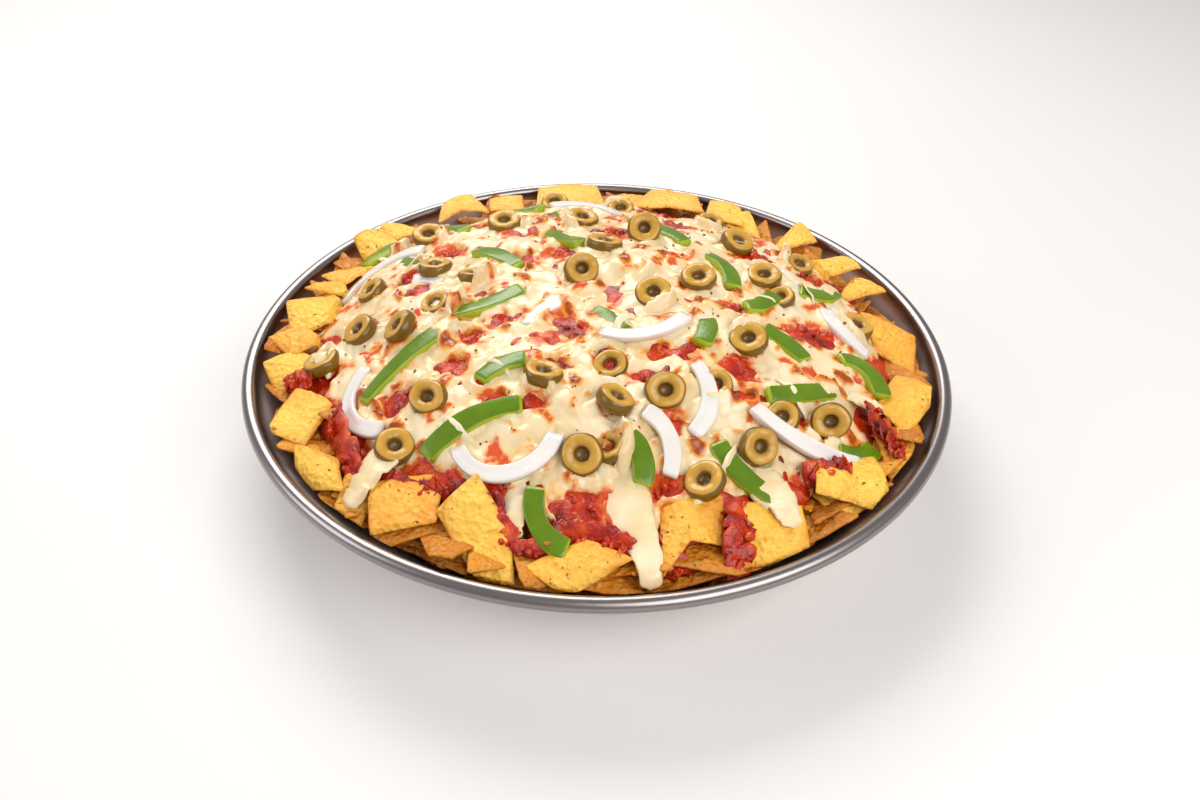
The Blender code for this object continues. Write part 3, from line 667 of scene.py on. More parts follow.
def backdrop_material():
    # Matt pale paper sweep under the dish.
    mat, tree, shader, _, (cloud,), _ = new_material("pale_floor_matt", ((240, 2, 0.55),))
    body = coat(tree, bpy.context.scene.nacho_colours.floor, linear("#e4e1de"), 1.0, (cloud,))
    finish(tree, shader, body, Roughness=0.6)
    return mat


# ------------------------------------------------------------------ the pieces
def inner_wall(z):
    """Inner radius of the pan at a height, both in mm."""
    pan = bpy.context.scene.nacho_pan
    flare = (pan.rim_radius - pan.bead_radius - pan.base_radius) / pan.rim_height
    return pan.base_radius / MM - pan.sheet / MM * math.hypot(1.0, flare) + flare * z


def pan_profile():
    """Base, flared wall and rolled rim as one closed outline, radius and height in mm."""
    pan = bpy.context.scene.nacho_pan
    sizes = (pan.base_radius, pan.rim_radius, pan.bead_radius, pan.rim_height)
    base, rim, bead, height = (size / MM for size in sizes)
    sheet, fillet = pan.sheet / MM, 8.0
    flare = math.degrees(math.atan2(rim - bead - base, height))
    centre = base - fillet * math.tan(math.radians(90 - flare) / 2)

    def arc(cr, cz, radius, start, end, count):
        for i in range(count + 1):
            a = math.radians(start + (end - start) * i / count)
            yield cr + radius * math.cos(a), cz + radius * math.sin(a)

    outer = [(r, 0.0) for r in (0.0, 40.0, 80.0)] + list(arc(centre, fillet, fillet, -90, -flare, 8))
    inner = list(arc(centre, fillet, fillet - sheet, -flare, -90, 8))
    inner += [(r, sheet) for r in (80.0, 40.0, 0.0)]
    return outer + list(arc(rim, height, bead, -115, 195, 22)) + inner


def turned(profile, steps):
    """Points and faces of a profile turned about the vertical, its ends on the axis."""
    turns = np.arange(steps) * math.tau / steps
    body = profile[1:-1]
    points = [(r * math.cos(a), r * math.sin(a), z) for r, z in body for a in turns]
    points += [(0, 0, profile[0][1]), (0, 0, profile[-1][1])]
    return points, tube_faces(len(body), steps)


def make_pan():
    steps = bpy.context.scene.nacho_pan.steps
    points, faces = turned(pan_profile(), steps)
    return new_piece("steel_pan", points, faces, steel_material())


def make_core():
    """The dark mound of broken chips in the middle, under everything that shows."""
    steps = 96
    profile = [(0.0, 2.0), (60.0, 2.0), (108.0, 4.0), (118.0, 14.0)]
    drops = ((120, 26), (112, 14), (100, 10), (80, 9), (50, 9), (20, 9), (0, 9))
    profile += [(r, float(crown(r, 0.0)) - drop) for r, drop in drops]
    points, faces = turned(profile, steps)
    points = np.array(points)
    points[:, 2] += 1.8 * gradient_noise(points[:, 0], points[:, 1], 16, SEED + 30) * (points[:, 2] > 20)
    return new_piece("chip_core", points, faces,
                     tortilla_material("fried_tortilla_shaded", linear("#c07a20"), linear("#8a4a10"),
                                       linear("#542604"), 0.7),
                     {"shade": 0.2, "rim": 0.0, "blister": 0.0})


CHIP_GRID = 1.8              # spacing of the points along a chip's edge


def round_corners(corners, step, share=0.05, count=3):
    """Outline of a chip: its corners softened, with points added along its sides."""
    corners = [np.array(c, float) for c in corners]
    line = []
    for k, here in enumerate(corners):
        before, after = corners[k - 1], corners[(k + 1) % len(corners)]
        a, b = here + (before - here) * share, here + (after - here) * share
        for i in range(count + 1):
            t = i / count
            line.append(a * (1 - t) ** 2 + here * 2 * t * (1 - t) + b * t * t)
        reach_on = after + (here - after) * share
        gap = np.linalg.norm(reach_on - b)
        extra = max(3, int(gap / step))
        line += [b + (reach_on - b) * i / extra for i in range(1, extra)]
    return np.array(line)


def inside_pan(points, spare=1.4):
    """Moves points that would go through the wall or over the rim back inside."""
    r = np.hypot(points[:, 0], points[:, 1])
    room = np.minimum(inner_wall(points[:, 2]), 148.0) - spare
    points[:, :2] *= np.minimum(1.0, room / np.maximum(r, 1.0))[:, None]
    return points


def tuck(sheet):
    """Lowers the inner part of a chip until the salsa covers it."""
    x, y = sheet[:, 0], sheet[:, 1]
    edge = outline(SALSA_OUTLINE, np.arctan2(y, x)) - np.hypot(x, y)
    limit = crown(x, y) - 5.0 + 40.0 * (1 - ease(edge, 0, 12))
    sheet[:, 2] = np.minimum(sheet[:, 2], limit)


SMOOTHINGS = 6               # passes that even out a chip's heights between its edges


def chip_shape(corners, arch, seed, thick=1.8, proud=True, spread=False, rings=13, step=CHIP_GRID):
    """One fried chip: a thin closed sheet, arched, rippled and blistered."""
    rng = np.random.default_rng(seed)
    line = round_corners(corners, step)
    count = len(line)
    middle = line.mean(0)
    flat = [middle + (line - middle) * (i / rings) for i in range(1, rings + 1)]
    grid = np.array(flat)
    for _ in range(SMOOTHINGS):
        inner = grid[:-1].copy()
        inner[1:] = (grid[:-2] + grid[2:] + np.roll(grid[1:-1], 1, 1) + np.roll(grid[1:-1], -1, 1)) / 4
        inner[0] = (middle + grid[1] + np.roll(grid[0], 1, 0) + np.roll(grid[0], -1, 0)) / 4
        grid[:-1, :, 2] = inner[:, :, 2]
    sheet = np.concatenate([grid.reshape(-1, 3), middle[None]])
    if not proud:
        tuck(sheet)
    if spread:
        inside_pan(sheet, 2.2)
    _, _, axes = np.linalg.svd(line - middle)
    normal = axes[2] if axes[2][2] > 0 else -axes[2]
    run = axes[0] * (1 if rng.random() < 0.5 else -1)
    across = np.cross(normal, run)
    u, v = (sheet - middle) @ run, (sheet - middle) @ across
    span = np.abs(v).max()
    start = rng.uniform(0, 900)
    lift = arch * (0.4 - (v / span) ** 2) + 0.8 * gradient_noise(u + start, v, 17, SEED)
    lift = lift + 0.3 * gradient_noise(u + start, v, 4, SEED + 1)
    blister = np.zeros(len(sheet))
    for _ in range(rng.integers(12, 20)):
        bu = rng.uniform(-0.9, 0.9) * np.abs(u).max()
        bv = rng.uniform(-0.9, 0.9) * span
        size = rng.uniform(1.4, 3.0)
        blister = np.maximum(blister, np.exp(-(np.hypot(u - bu, v - bv) / size) ** 2))
    lift = lift + 0.6 * blister
    ring = np.concatenate([np.repeat(np.arange(1, rings + 1) / rings, count), [0.0]])
    half = thick / 2 * np.sqrt(np.clip(1.2 - ring ** 14, 0.3, 1))
    top = sheet + normal * (lift + half)[:, None]
    under = sheet + normal * (lift - half)[:, None]
    ledge = sheet[(rings - 1) * count:rings * count]
    out = ledge - middle
    out = out / np.linalg.norm(out, axis=1)[:, None]
    brim = ledge + normal * lift[(rings - 1) * count:rings * count][:, None] + out * 0.35
    points = np.concatenate([top, under, brim])
    size = len(sheet)
    upper = [(a + k, a + (k + 1) % count, a + count + (k + 1) % count, a + count + k)
             for a in range(0, (rings - 1) * count, count) for k in range(count)]
    upper += [(rings * count, (k + 1) % count, k) for k in range(count)]
    last = (rings - 1) * count
    faces = [f[::-1] for f in upper] + [tuple(q + size for q in f) for f in upper]
    for k in range(count):
        after, ledge_here, ledge_after = (k + 1) % count, 2 * size + k, 2 * size + (k + 1) % count
        faces.append((last + k, last + after, ledge_after, ledge_here))
        faces.append((ledge_here, ledge_after, size + last + after, size + last + k))
    winding = np.cross(line[1] - line[0], line[len(line) // 3] - line[0]) @ normal
    if winding < 0:
        faces = [f[::-1] for f in faces]
    edge = ring ** 4
    values = {"shade": rng.uniform(0.25, 0.75), "rim": np.concatenate([edge, edge, np.ones(count)]),
              "blister": np.concatenate([blister, blister, np.zeros(count)])}
    return points, faces, values


def make_chips():
    heap = bpy.context.scene.nacho_heap
    parts = Parts()
    for k, (corners, arch, proud) in enumerate(CHIPS):
        points, faces, values = chip_shape(corners, arch, SEED + 40 + k, heap.chip_thickness / MM, proud,
                                           True)
        parts.add(points, faces, **values)
    tint = bpy.context.scene.nacho_colours
    crust = tortilla_material("fried_tortilla", tint.chip_light, tint.chip_middle, tint.chip_deep, 0.45)
    return parts.piece("tortilla_chips", crust)


def chip_pattern():
    """A few plain three-cornered chips, flat at the origin, to be repeated under the others."""
    # Painted shade: these chips lie low in the gaps, so they take darker crust colours than the chips on top.
    mat = tortilla_material("fried_tortilla_buried_shade", linear("#e89a20"), linear("#c8780e"),
                            linear("#8e4a06"), 0.5)
    home = bpy.data.collections.new("chip_patterns")
    for k, side in enumerate((30, 36, 42)):
        corners = [(side * 0.58 * math.cos(a), side * 0.58 * math.sin(a), 0.0) for a in (0.0, 2.0, 4.2)]
        points, faces, values = chip_shape(corners, 2.0, SEED + 90 + k, rings=4, step=6.0)
        one = new_piece(f"chip_pattern_{k}", points, faces, mat, values)
        bpy.context.scene.collection.objects.unlink(one)
        home.objects.link(one)
    return home, mat


def group_with(name, inputs):
    """A new Geometry Nodes group with a geometry input, named inputs and a geometry output."""
    tree = bpy.data.node_groups.new(name, "GeometryNodeTree")
    tree.interface.new_socket("Geometry", in_out="INPUT", socket_type="NodeSocketGeometry")
    for label, kind in inputs:
        tree.interface.new_socket(label, in_out="INPUT", socket_type=kind)
    tree.interface.new_socket("Geometry", in_out="OUTPUT", socket_type="NodeSocketGeometry")
    return tree, add(tree, "NodeGroupInput").outputs


def end_group(tree, given, instances):
    """Ends a group: its instances made real and given the group's material."""
    solid = add(tree, "GeometryNodeRealizeInstances", {"Geometry": instances})
    dressed = add(tree, "GeometryNodeSetMaterial",
                  {"Geometry": solid.outputs["Geometry"], "Material": given["Material"]})
    add(tree, "NodeGroupOutput", {"Geometry": dressed.outputs["Geometry"]})


def spots_carrier(name, spots):
    """An object whose vertices are the spots, in mm."""
    mesh = bpy.data.meshes.new(name)
    mesh.from_pydata((np.asarray(spots) * MM).tolist(), [], [])
    carrier = bpy.data.objects.new(name, mesh)
    bpy.context.scene.collection.objects.link(carrier)
    return carrier


def run_group(name, carrier, tree, values):
    """The plain mesh that a Geometry Nodes group makes from a carrier mesh."""
    modifier = carrier.modifiers.new("grow", "NODES")
    modifier.node_group = tree
    for item in tree.interface.items_tree:
        if item.item_type == "SOCKET" and item.in_out == "INPUT" and item.name in values:
            modifier[item.identifier] = values[item.name]
    bpy.context.view_layer.update()
    made = carrier.evaluated_get(bpy.context.evaluated_depsgraph_get())
    mesh = bpy.data.meshes.new_from_object(made, preserve_all_data_layers=True,
                                           depsgraph=bpy.context.evaluated_depsgraph_get())
    carrier.modifiers.remove(modifier)
    mesh.name = name
    piece = bpy.data.objects.new(name, mesh)
    bpy.context.scene.collection.objects.link(piece)
    bpy.data.objects.remove(carrier)
    return piece


def make_buried_chips():
    """Chips lying every way between the wall and the core, seen in the gaps."""
    home, mat = chip_pattern()
    rng = np.random.default_rng(SEED + 60)
    rows = ((40, 110, 34), (44, 119, 29), (56, 126, 29), (48, 131, 34), (40, 122, 20))
    spots, leans = [], []
    for count, radius, height in rows:
        for k in range(count):
            a = math.tau * (k + rng.uniform(-0.3, 0.3)) / count
            r = radius + rng.uniform(-3, 3)
            spots.append((r * math.cos(a), r * math.sin(a), height + rng.uniform(-3, 3)))
            leans.append((rng.uniform(-0.45, 0.45), -rng.uniform(0.05, 0.55), a))
    tree, given = group_with("buried_chips", (("Chips", "NodeSocketCollection"),
                                              ("Material", "NodeSocketMaterial")))
    pick = add(tree, "GeometryNodeCollectionInfo", {"Collection": given["Chips"], "Separate Children": True,
                                                    "Reset Children": True})
    lean = add(tree, "GeometryNodeInputNamedAttribute", {"Name": "lean"},
               data_type="FLOAT_VECTOR").outputs["Attribute"]
    spin = add(tree, "FunctionNodeRandomValue", {"Seed": SEED + 61, "Max": (0.0, 0.0, math.tau)},
               data_type="FLOAT_VECTOR").outputs["Value"]
    placed = add(tree, "GeometryNodeInstanceOnPoints",
                 {"Points": given["Geometry"], "Instance": pick.outputs["Instances"], "Pick Instance": True,
                  "Rotation": lean})
    turned_in = add(tree, "GeometryNodeRotateInstances",
                    {"Instances": placed.outputs["Instances"], "Rotation": spin, "Local Space": True})
    end_group(tree, given, turned_in.outputs["Instances"])
    carrier = spots_carrier("chip_spots", spots)
    turns = [Matrix.Rotation(a, 3, "Z") @ Matrix.Rotation(p, 3, "Y") @ Matrix.Rotation(q, 3, "X")
             for q, p, a in leans]
    carrier.data.attributes.new("lean", "FLOAT_VECTOR", "POINT").data.foreach_set(
        "vector", np.array([tuple(turn.to_euler()) for turn in turns], np.float32).ravel())
    piece = run_group("buried_chips", carrier, tree, {"Chips": home, "Material": mat})
    points = np.empty(len(piece.data.vertices) * 3)
    piece.data.vertices.foreach_get("co", points)
    points = inside_pan(points.reshape(-1, 3) / MM) * MM
    piece.data.vertices.foreach_set("co", points.ravel())
    piece.data.update()
    return piece


def make_layers():
    """The salsa layer and the cheese over it."""
    heap = bpy.context.scene.nacho_heap
    x, y, faces = plan_grid(134.0, heap.salsa_grid / MM)
    _, salsa, _, _ = surface_fields(x, y)
    edge = outline(SALSA_OUTLINE, np.arctan2(y, x)) - np.hypot(x, y) + 4 * gradient_noise(x, y, 8, SEED + 20)
    salsa = salsa - 5.0 * (1 - np.sqrt(np.clip(1 - (1 - np.clip(edge / 5, 0, 1)) ** 2, 0, 1)))
    kept = layer_slab(faces, edge > 0)
    floor = np.minimum(salsa - 1.0, crown(x, y) - 7)
    red = slab_piece("salsa_layer", *kept, x, y, salsa, floor, salsa_material(), {})
    x, y, faces = plan_grid(131.0, heap.cheese_grid / MM)
    room, _, cheese, marks = surface_fields(x, y)
    kept = layer_slab(faces, room > -1.2)
    floor = np.minimum(cheese - 0.8, crown(x, y) - 4.5)
    return red, slab_piece("cheese_layer", *kept, x, y, cheese, floor, cheese_material(), marks)


def olive_shape(radius, hole, height, seed, steps=40):
    """A cut slice of olive: rounded skin side, slightly dished cut faces, a hole through."""
    rng = np.random.default_rng(seed)
    half = height / 2
    profile = [(0.0, -half + 0.3), (hole, -half + 0.2), (hole + 0.5, -half + 0.1), (radius - 2.6, -half),
               (radius - 1.3, -half + 0.1), (radius - 0.6, -half + 0.6), (radius - 0.15, -half + 1.6),
               (radius, 0.0), (radius - 0.15, half - 1.6), (radius - 0.6, half - 0.6),
               (radius - 1.3, half - 0.1), (radius - 2.6, half), (hole + 1.4, half - 0.4),
               (hole + 0.4, half - 0.7), (hole, half - 1.2), (hole - 0.2, 0.0), (hole - 1.2, -0.8), (0.0, -1.0)]
    cut = [1, 1, 1, 0.8, 0.3, 0, 0, 0, 0.3, 0.8, 1, 1, 1, 1, 1, 1]
    # deep is 1 in and round the stone's hole, where the olive material paints shade.
    deep = [0.4, 0.2, 0, 0, 0, 0, 0, 0, 0, 0, 0, 0.1, 0.5, 0.9, 1, 1]
    points = []
    squash = rng.uniform(0.92, 1.0)
    phase = rng.uniform(0, math.tau, 3)
    body = profile[1:-1]
    for r, z in body:
        for k in range(steps):
            a = math.tau * k / steps
            wobble = 1 + 0.025 * math.sin(2 * a + phase[0])
            wobble += 0.018 * math.sin(5 * a + phase[1]) * (r > hole + 2)
            dent = 0.35 * math.sin(3 * a + phase[2]) * (z > 0) * (r / radius)
            dent += 0.15 * math.sin(7 * a + phase[0])
            points.append((r * wobble * math.cos(a), r * wobble * squash * math.sin(a), z + 0.6 * dent))
    points += [(0, 0, profile[0][1]), (0, 0, profile[-1][1])]
    cut, deep = (np.append(np.repeat(row, steps), (1.0, 1.0)) for row in (cut, deep))
    return np.array(points), tube_faces(len(body), steps), cut, deep


def make_olives():
    size = bpy.context.scene.nacho_toppings
    parts = Parts()
    for k, (x, y, heading, lean) in enumerate(OLIVES + SUNK_OLIVES):
        sunk = k >= len(OLIVES)
        radius = size.olive_radius / MM * (0.9 if sunk else 1.0)
        height = size.olive_height / MM * (0.8 if sunk else 1.0)
        points, faces, cut, deep = olive_shape(radius, 2.8, height, SEED + 100 + k)
        axis = Vector((math.cos(math.radians(heading)), math.sin(math.radians(heading)), 0.0))
        axis = axis * math.sin(math.radians(lean)) + Vector((0, 0, math.cos(math.radians(lean))))
        turn = np.array(axis.to_track_quat("Z", "Y").to_matrix())
        points = points @ turn.T
        low = (crown(x + points[:, 0], y + points[:, 1]) - points[:, 2]).max()
        points += (x, y, low + (-3.4 if sunk else -1.8))
        # The hole mark carries the painted shade in and round the stone's hole.
        parts.add(points, faces, cut=cut, hole=deep)
    return parts.piece("olive_rings", olive_material())


def strip_shape(run, width, thick, section, seed, sink, count=22):
    """A strip along its bent path; section gives points across it and how cut each one is."""
    rng = np.random.default_rng(seed)
    path, across = strip_path(run, count)
    steps = len(section)
    phase = rng.uniform(0, math.tau, 4)
    rings, cuts = [], []
    for i, (p, side) in enumerate(zip(path, across)):
        t = i / (count - 1)
        taper = 1.0 - 0.12 * max(0.0, 1 - t / 0.03) - 0.12 * max(0.0, (t - 0.97) / 0.03)
        swell = 1 + 0.07 * math.sin(5 * t + phase[0]) + 0.04 * math.sin(11 * t + phase[1])
        normal = crown_normal(p[0], p[1])
        flat = Vector((side[0], side[1], 0.0))
        flat = (flat - normal * flat.dot(normal)).normalized()
        height = float(crown(p[0], p[1])) + STRIP_BASE + run[5] - sink
        base = Vector((p[0], p[1], height + 0.5 * math.sin(4 * t + phase[2])))
        tilt = 0.16 * math.sin(3 * t + phase[3])
        for u, v, cut in section:
            a = u * width / 2 * swell * taper
            b = v * thick * (0.5 + 0.5 * taper)
            rings.append(base + flat * (a * math.cos(tilt)) + normal * (b + a * math.sin(tilt)))
            cuts.append(max(cut, 1.0 if i in (0, count - 1) else 0.0))
    for i in (0, count - 1):
        ring = rings[i * steps:(i + 1) * steps]
        rings.append(sum(ring, Vector()) / steps)
        cuts.append(1.0)
    return [tuple(p) for p in rings], tube_faces(count, steps), cuts


# half of a strip's width, share of its thickness, 1 on a cut side
PEPPER_SECTION = ((-1, 0.1, 1), (-1.02, 0.5, 1), (-0.98, 0.86, 0.9), (-0.92, 0.95, 0.3), (-0.8, 0.98, 0),
                  (-0.3, 1.0, 0), (0.3, 1.0, 0), (0.8, 0.98, 0), (0.92, 0.95, 0.3), (0.98, 0.86, 0.9),
                  (1.02, 0.5, 1), (1, 0.1, 1), (0.9, 0, 1), (0, 0.03, 1), (-0.9, 0, 1))
ONION_SECTION = ((-1, 0.2, 1), (-1.0, 0.75, 0.9), (-0.93, 0.95, 0.4), (-0.75, 1.0, 0.1), (-0.3, 0.92, 0),
                 (0.3, 0.92, 0), (0.75, 1.0, 0.1), (0.93, 0.95, 0.4), (1.0, 0.75, 0.9), (1, 0.2, 1),
                 (0.85, 0, 1), (0, 0, 0.5), (-0.85, 0, 1))


def make_strips(name, runs, width, thick, section, material, seed, sink):
    parts = Parts()
    for k, run in enumerate(runs):
        points, faces, cuts = strip_shape(run, width, thick, section, seed + k, sink=sink)
        parts.add(points, faces, cut=cuts)
    return parts.piece(name, material)


# drips of cheese over the chips: points x, y, z and half width
CHEESE_RUNS = (
    ((8, -98, 51, 9), (11, -108, 49, 9), (14, -118, 46, 8), (17, -127, 44, 6), (19, -134, 42, 5),
     (20, -139, 40, 4), (20, -141, 36, 4)),
    ((-31, -98, 50, 5), (-30, -107, 48, 5), (-29, -115, 46, 5), (-29, -121, 44, 4), (-29, -124, 42, 3)),
    ((-78, -88, 50, 7), (-84, -97, 47, 7), (-88, -104, 44, 5), (-91, -108, 40, 4)),
    ((60, -94, 49, 8), (66, -103, 47, 8), (70, -111, 45, 6), (72, -117, 43, 4)),
    ((104, -44, 48, 4), (112, -48, 46, 4), (118, -50, 44, 3)),
    ((-112, -30, 48, 7), (-120, -29, 46, 6), (-126, -28, 44, 4)),
)


# salsa that has run down over the chips
SALSA_RUNS = (
    ((50, -104, 46, 6), (51, -112, 45, 7), (52, -120, 44, 7), (51, -127, 41, 6), (51, -132, 37, 5),
     (51, -135, 34, 4)),
    ((-40, -98, 49, 4), (-38, -106, 48, 4), (-35, -115, 46, 4), (-31, -123, 43, 5), (-27, -129, 40, 5)),
    ((-26, -130, 40, 4), (-19, -126, 41, 5), (-9, -122, 42, 6), (4, -124, 43, 5), (14, -129, 42, 5)),
    ((-74, -100, 45, 5), (-66, -105, 44, 5), (-58, -105, 46, 5), (-50, -100, 49, 4)),
    ((-104, -62, 46, 6), (-101, -72, 46, 7), (-96, -82, 45, 7), (-92, -90, 44, 6), (-90, -97, 41, 4)),
    ((112, -50, 47, 6), (116, -60, 44, 7), (119, -68, 41, 6), (120, -74, 38, 4)),
    ((80, -92, 46, 5), (90, -89, 46, 5), (98, -86, 46, 4)),
    ((-120, -36, 45, 5), (-127, -37, 43, 5), (-132, -37, 41, 4)),
    ((26, -122, 40, 5), (28, -128, 38, 6), (30, -133, 36, 5)),
)


def run_shape(nodes, seed, rough=0.7, flat=0.24, count=30, steps=14):
    """A flat rounded run that follows points down the heap, closed at both ends."""
    nodes = np.array(nodes, float)
    place = np.linspace(0, len(nodes) - 1, count)
    line = np.stack([np.interp(place, range(len(nodes)), nodes[:, c]) for c in range(4)], 1)
    for _ in range(3):
        line[1:-1] = (line[:-2] + 2 * line[1:-1] + line[2:]) / 4
    knots = np.arange(count, dtype=float)
    line[:, 3] *= 1 + 0.22 * gradient_noise(knots, knots * 0, 5, seed)
    line[:, 0] += rough * gradient_noise(knots, knots * 0 + 9, 6, seed)
    points = []
    for i in range(count):
        ahead = line[min(i + 1, count - 1), :3] - line[max(i - 1, 0), :3]
        ahead = Vector(ahead).normalized()
        side = ahead.cross(Vector((line[i, 0], line[i, 1], 60.0)).normalized()).normalized()
        up = side.cross(ahead)
        t = i / (count - 1)
        bulb = line[i, 3] * math.sqrt(max(0.02, 1 - max(0.0, (t - 0.9) / 0.1) ** 2))
        for k in range(steps):
            a = math.tau * k / steps
            bump = float(gradient_noise(np.array(i * 1.0), np.array(k * 1.0), 2.2, seed + 1))
            out = side * (bulb * math.cos(a)) + up * (flat * bulb * math.sin(a))
            points.append(Vector(line[i, :3]) + out * (1 + 0.12 * rough * bump))
    end = Vector(line[-1, :3])
    points += [Vector(line[0, :3]), end + (end - Vector(line[-3, :3])).normalized() * 0.4]
    return inside_pan(np.array([tuple(p) for p in points]), 0.4), tube_faces(count, steps)


def make_drips():
    parts = Parts()
    for k, nodes in enumerate(CHEESE_RUNS):
        points, faces = run_shape(nodes, SEED + 400 + k)
        parts.add(points, faces, toast=0.0, film=0.2, hollow=0.0)
    return parts.piece("cheese_drips", bpy.data.materials["melted_mozzarella"])


def across_strip(run, share, width):
    """A strand of cheese over a strip, from one side to the other."""
    arch = ((-9, 0.2, -3), (-6, 1.6, -2), (-3.2, 4.2, -1), (0, 5.0, 0), (3.2, 4.2, 1), (6, 1.6, 2), (9, 0.2, 3))
    path, side = strip_path(run, 11)
    here, out = path[round(share * 10)], side[round(share * 10)]
    ahead = np.array((-out[1], out[0]))
    for reach, rise, skew in arch:
        x, y = here + out * reach + ahead * skew
        yield x, y, float(crown(x, y)) + rise - 0.6, width * (1 + 0.12 * abs(reach) / 3)


def across_ring(x, y, heading, width):
    """A strand of cheese over an olive, sagging into its hole."""
    arch = ((-13, 0.3), (-10, 1.2), (-7.4, 4.4), (-4, 4.9), (0, 4.2), (4, 4.9), (7.4, 4.4), (10, 1.2),
            (13, 0.3))
    out = np.array((math.cos(heading), math.sin(heading)))
    for reach, rise in arch:
        px, py = np.array((x, y)) + out * reach
        yield px, py, float(crown(px, py)) + rise - 0.4, width


def make_strings():
    """Strands of cheese drawn over the toppings."""
    parts = Parts()
    rng = np.random.default_rng(SEED + 440)
    rows = [list(across_strip(run, rng.uniform(0.2, 0.8), rng.uniform(0.8, 2.0)))
            for run in PEPPERS if rng.random() < 0.45]
    rows += [list(across_ring(x, y, rng.uniform(0, math.tau), rng.uniform(0.6, 1.1)))
             for x, y, _, lean in OLIVES + SUNK_OLIVES if lean < 24 and rng.random() < 0.12]
    for k, nodes in enumerate(rows):
        points, faces = run_shape(nodes, SEED + 450 + k, flat=0.3, count=26, steps=8)
        parts.add(points, faces, toast=0.0, film=0.05, hollow=0.0)
    return parts.piece("cheese_strings", bpy.data.materials["melted_mozzarella"])


def make_salsa_runs():
    parts = Parts()
    for k, nodes in enumerate(SALSA_RUNS):
        points, faces = run_shape(nodes, SEED + 420 + k, rough=2.2, flat=0.2, count=48, steps=20)
        parts.add(points, faces)
    return parts.piece("salsa_runs", bpy.data.materials["tomato_salsa"])


def pulp_lump(name, seed, stretch):
    """An uneven lump of tomato, a few dozen faces."""
    mesh = bpy.data.meshes.new(name)
    bm = bmesh.new()
    bmesh.ops.create_icosphere(bm, subdivisions=2, radius=1.0)
    rng = np.random.default_rng(seed)
    phase = rng.uniform(0, math.tau, 6)
    for v in bm.verts:
        p = v.co
        push = 1 + 0.18 * math.sin(3 * p.x + phase[0]) + 0.15 * math.sin(4 * p.y + phase[1])
        push += 0.12 * math.sin(5 * p.z + phase[2])
        box = max(abs(p.x), abs(p.y), abs(p.z))
        v.co = Vector([c * s * push * (0.75 + 0.25 / box) * MM for c, s in zip(p, stretch)])
    bm.to_mesh(mesh)
    bm.free()
    mesh.polygons.foreach_set("use_smooth", [True] * len(mesh.polygons))
    return bpy.data.objects.new(name, mesh)


def scatter(name, spots, shapes, sizes, material, seed):
    """Small shapes repeated over spots, each turned at random."""
    home = bpy.data.collections.new(name + "_shapes")
    for shape in shapes:
        home.objects.link(shape)
    tree, given = group_with(name, (("Shapes", "NodeSocketCollection"), ("Smallest", "NodeSocketFloat"),
                                    ("Largest", "NodeSocketFloat"), ("Material", "NodeSocketMaterial")))
    pick = add(tree, "GeometryNodeCollectionInfo", {"Collection": given["Shapes"], "Separate Children": True,
                                                    "Reset Children": True})
    spin = add(tree, "FunctionNodeRandomValue", {"Seed": seed, "Max": (math.tau,) * 3},
               data_type="FLOAT_VECTOR")
    size = add(tree, "FunctionNodeRandomValue", {"Seed": seed + 1}, data_type="FLOAT")
    span = [s for s in size.inputs if s.type == "VALUE" and s.enabled]
    for label, socket in zip(("Smallest", "Largest"), span):
        tree.links.new(given[label], socket)
    factor = [s for s in size.outputs if s.enabled][0]
    turned_by = [s for s in spin.outputs if s.enabled][0]
    placed = add(tree, "GeometryNodeInstanceOnPoints",
                 {"Points": given["Geometry"], "Instance": pick.outputs["Instances"], "Pick Instance": True,
                  "Rotation": turned_by, "Scale": factor})
    end_group(tree, given, placed.outputs["Instances"])
    carrier = spots_carrier(name + "_spots", spots)
    return run_group(name, carrier, tree, {"Shapes": home, "Smallest": sizes[0], "Largest": sizes[1],
                                           "Material": material})


def random_disc(count, radius, seed):
    rng = np.random.default_rng(seed)
    r, a = radius * np.sqrt(rng.uniform(0, 1, count)), rng.uniform(0, math.tau, count)
    return r * np.cos(a), r * np.sin(a)


def make_pulp():
    """Lumps of tomato standing in the bare salsa."""
    x, y = random_disc(2600, 128, SEED + 70)
    room, salsa, _, _ = surface_fields(x, y)
    edge = outline(SALSA_OUTLINE, np.arctan2(y, x)) - np.hypot(x, y)
    good = (room < -0.8) & (edge > 3)
    spots = np.stack([x, y, salsa - 0.6], 1)[good]
    rng = np.random.default_rng(SEED + 73)
    on_runs = []
    for run in SALSA_RUNS:
        run = np.array(run, float)
        for place in rng.uniform(0.2, len(run) - 1.2, 5 * len(run)):
            here = np.array([np.interp(place, range(len(run)), run[:, c]) for c in range(4)])
            on_runs.append(here[:3] + (*rng.uniform(-0.6, 0.6, 2) * here[3], 0.3))
    spots = np.concatenate([spots, inside_pan(np.array(on_runs), 4.0)])
    shapes = [pulp_lump(f"pulp_{k}", SEED + 71 + k, stretch) for k, stretch in
              enumerate(((3.0, 2.2, 1.6), (2.2, 2.0, 1.8), (3.6, 1.6, 1.3)))]
    return scatter("tomato_pulp", spots, shapes, (0.4, 0.95), bpy.data.materials["tomato_salsa"], SEED + 72)


def make_flecks(name, count, chance, toasted, drop, shapes, sizes, material, seed):
    """Dry flecks on the cheese: a chance anywhere, and more by so much where it is toasted."""
    x, y = random_disc(count, 122, seed)
    room, salsa, cheese, marks = surface_fields(x, y)
    rng = np.random.default_rng(seed + 1)
    good = rng.uniform(0, 1, count) < np.where(room > 0.5, chance + toasted * marks["toast"], 0)
    spots = np.stack([x, y, np.maximum(cheese, salsa) - drop], 1)[good]
    return scatter(name, spots, shapes, sizes, material, seed + 2)


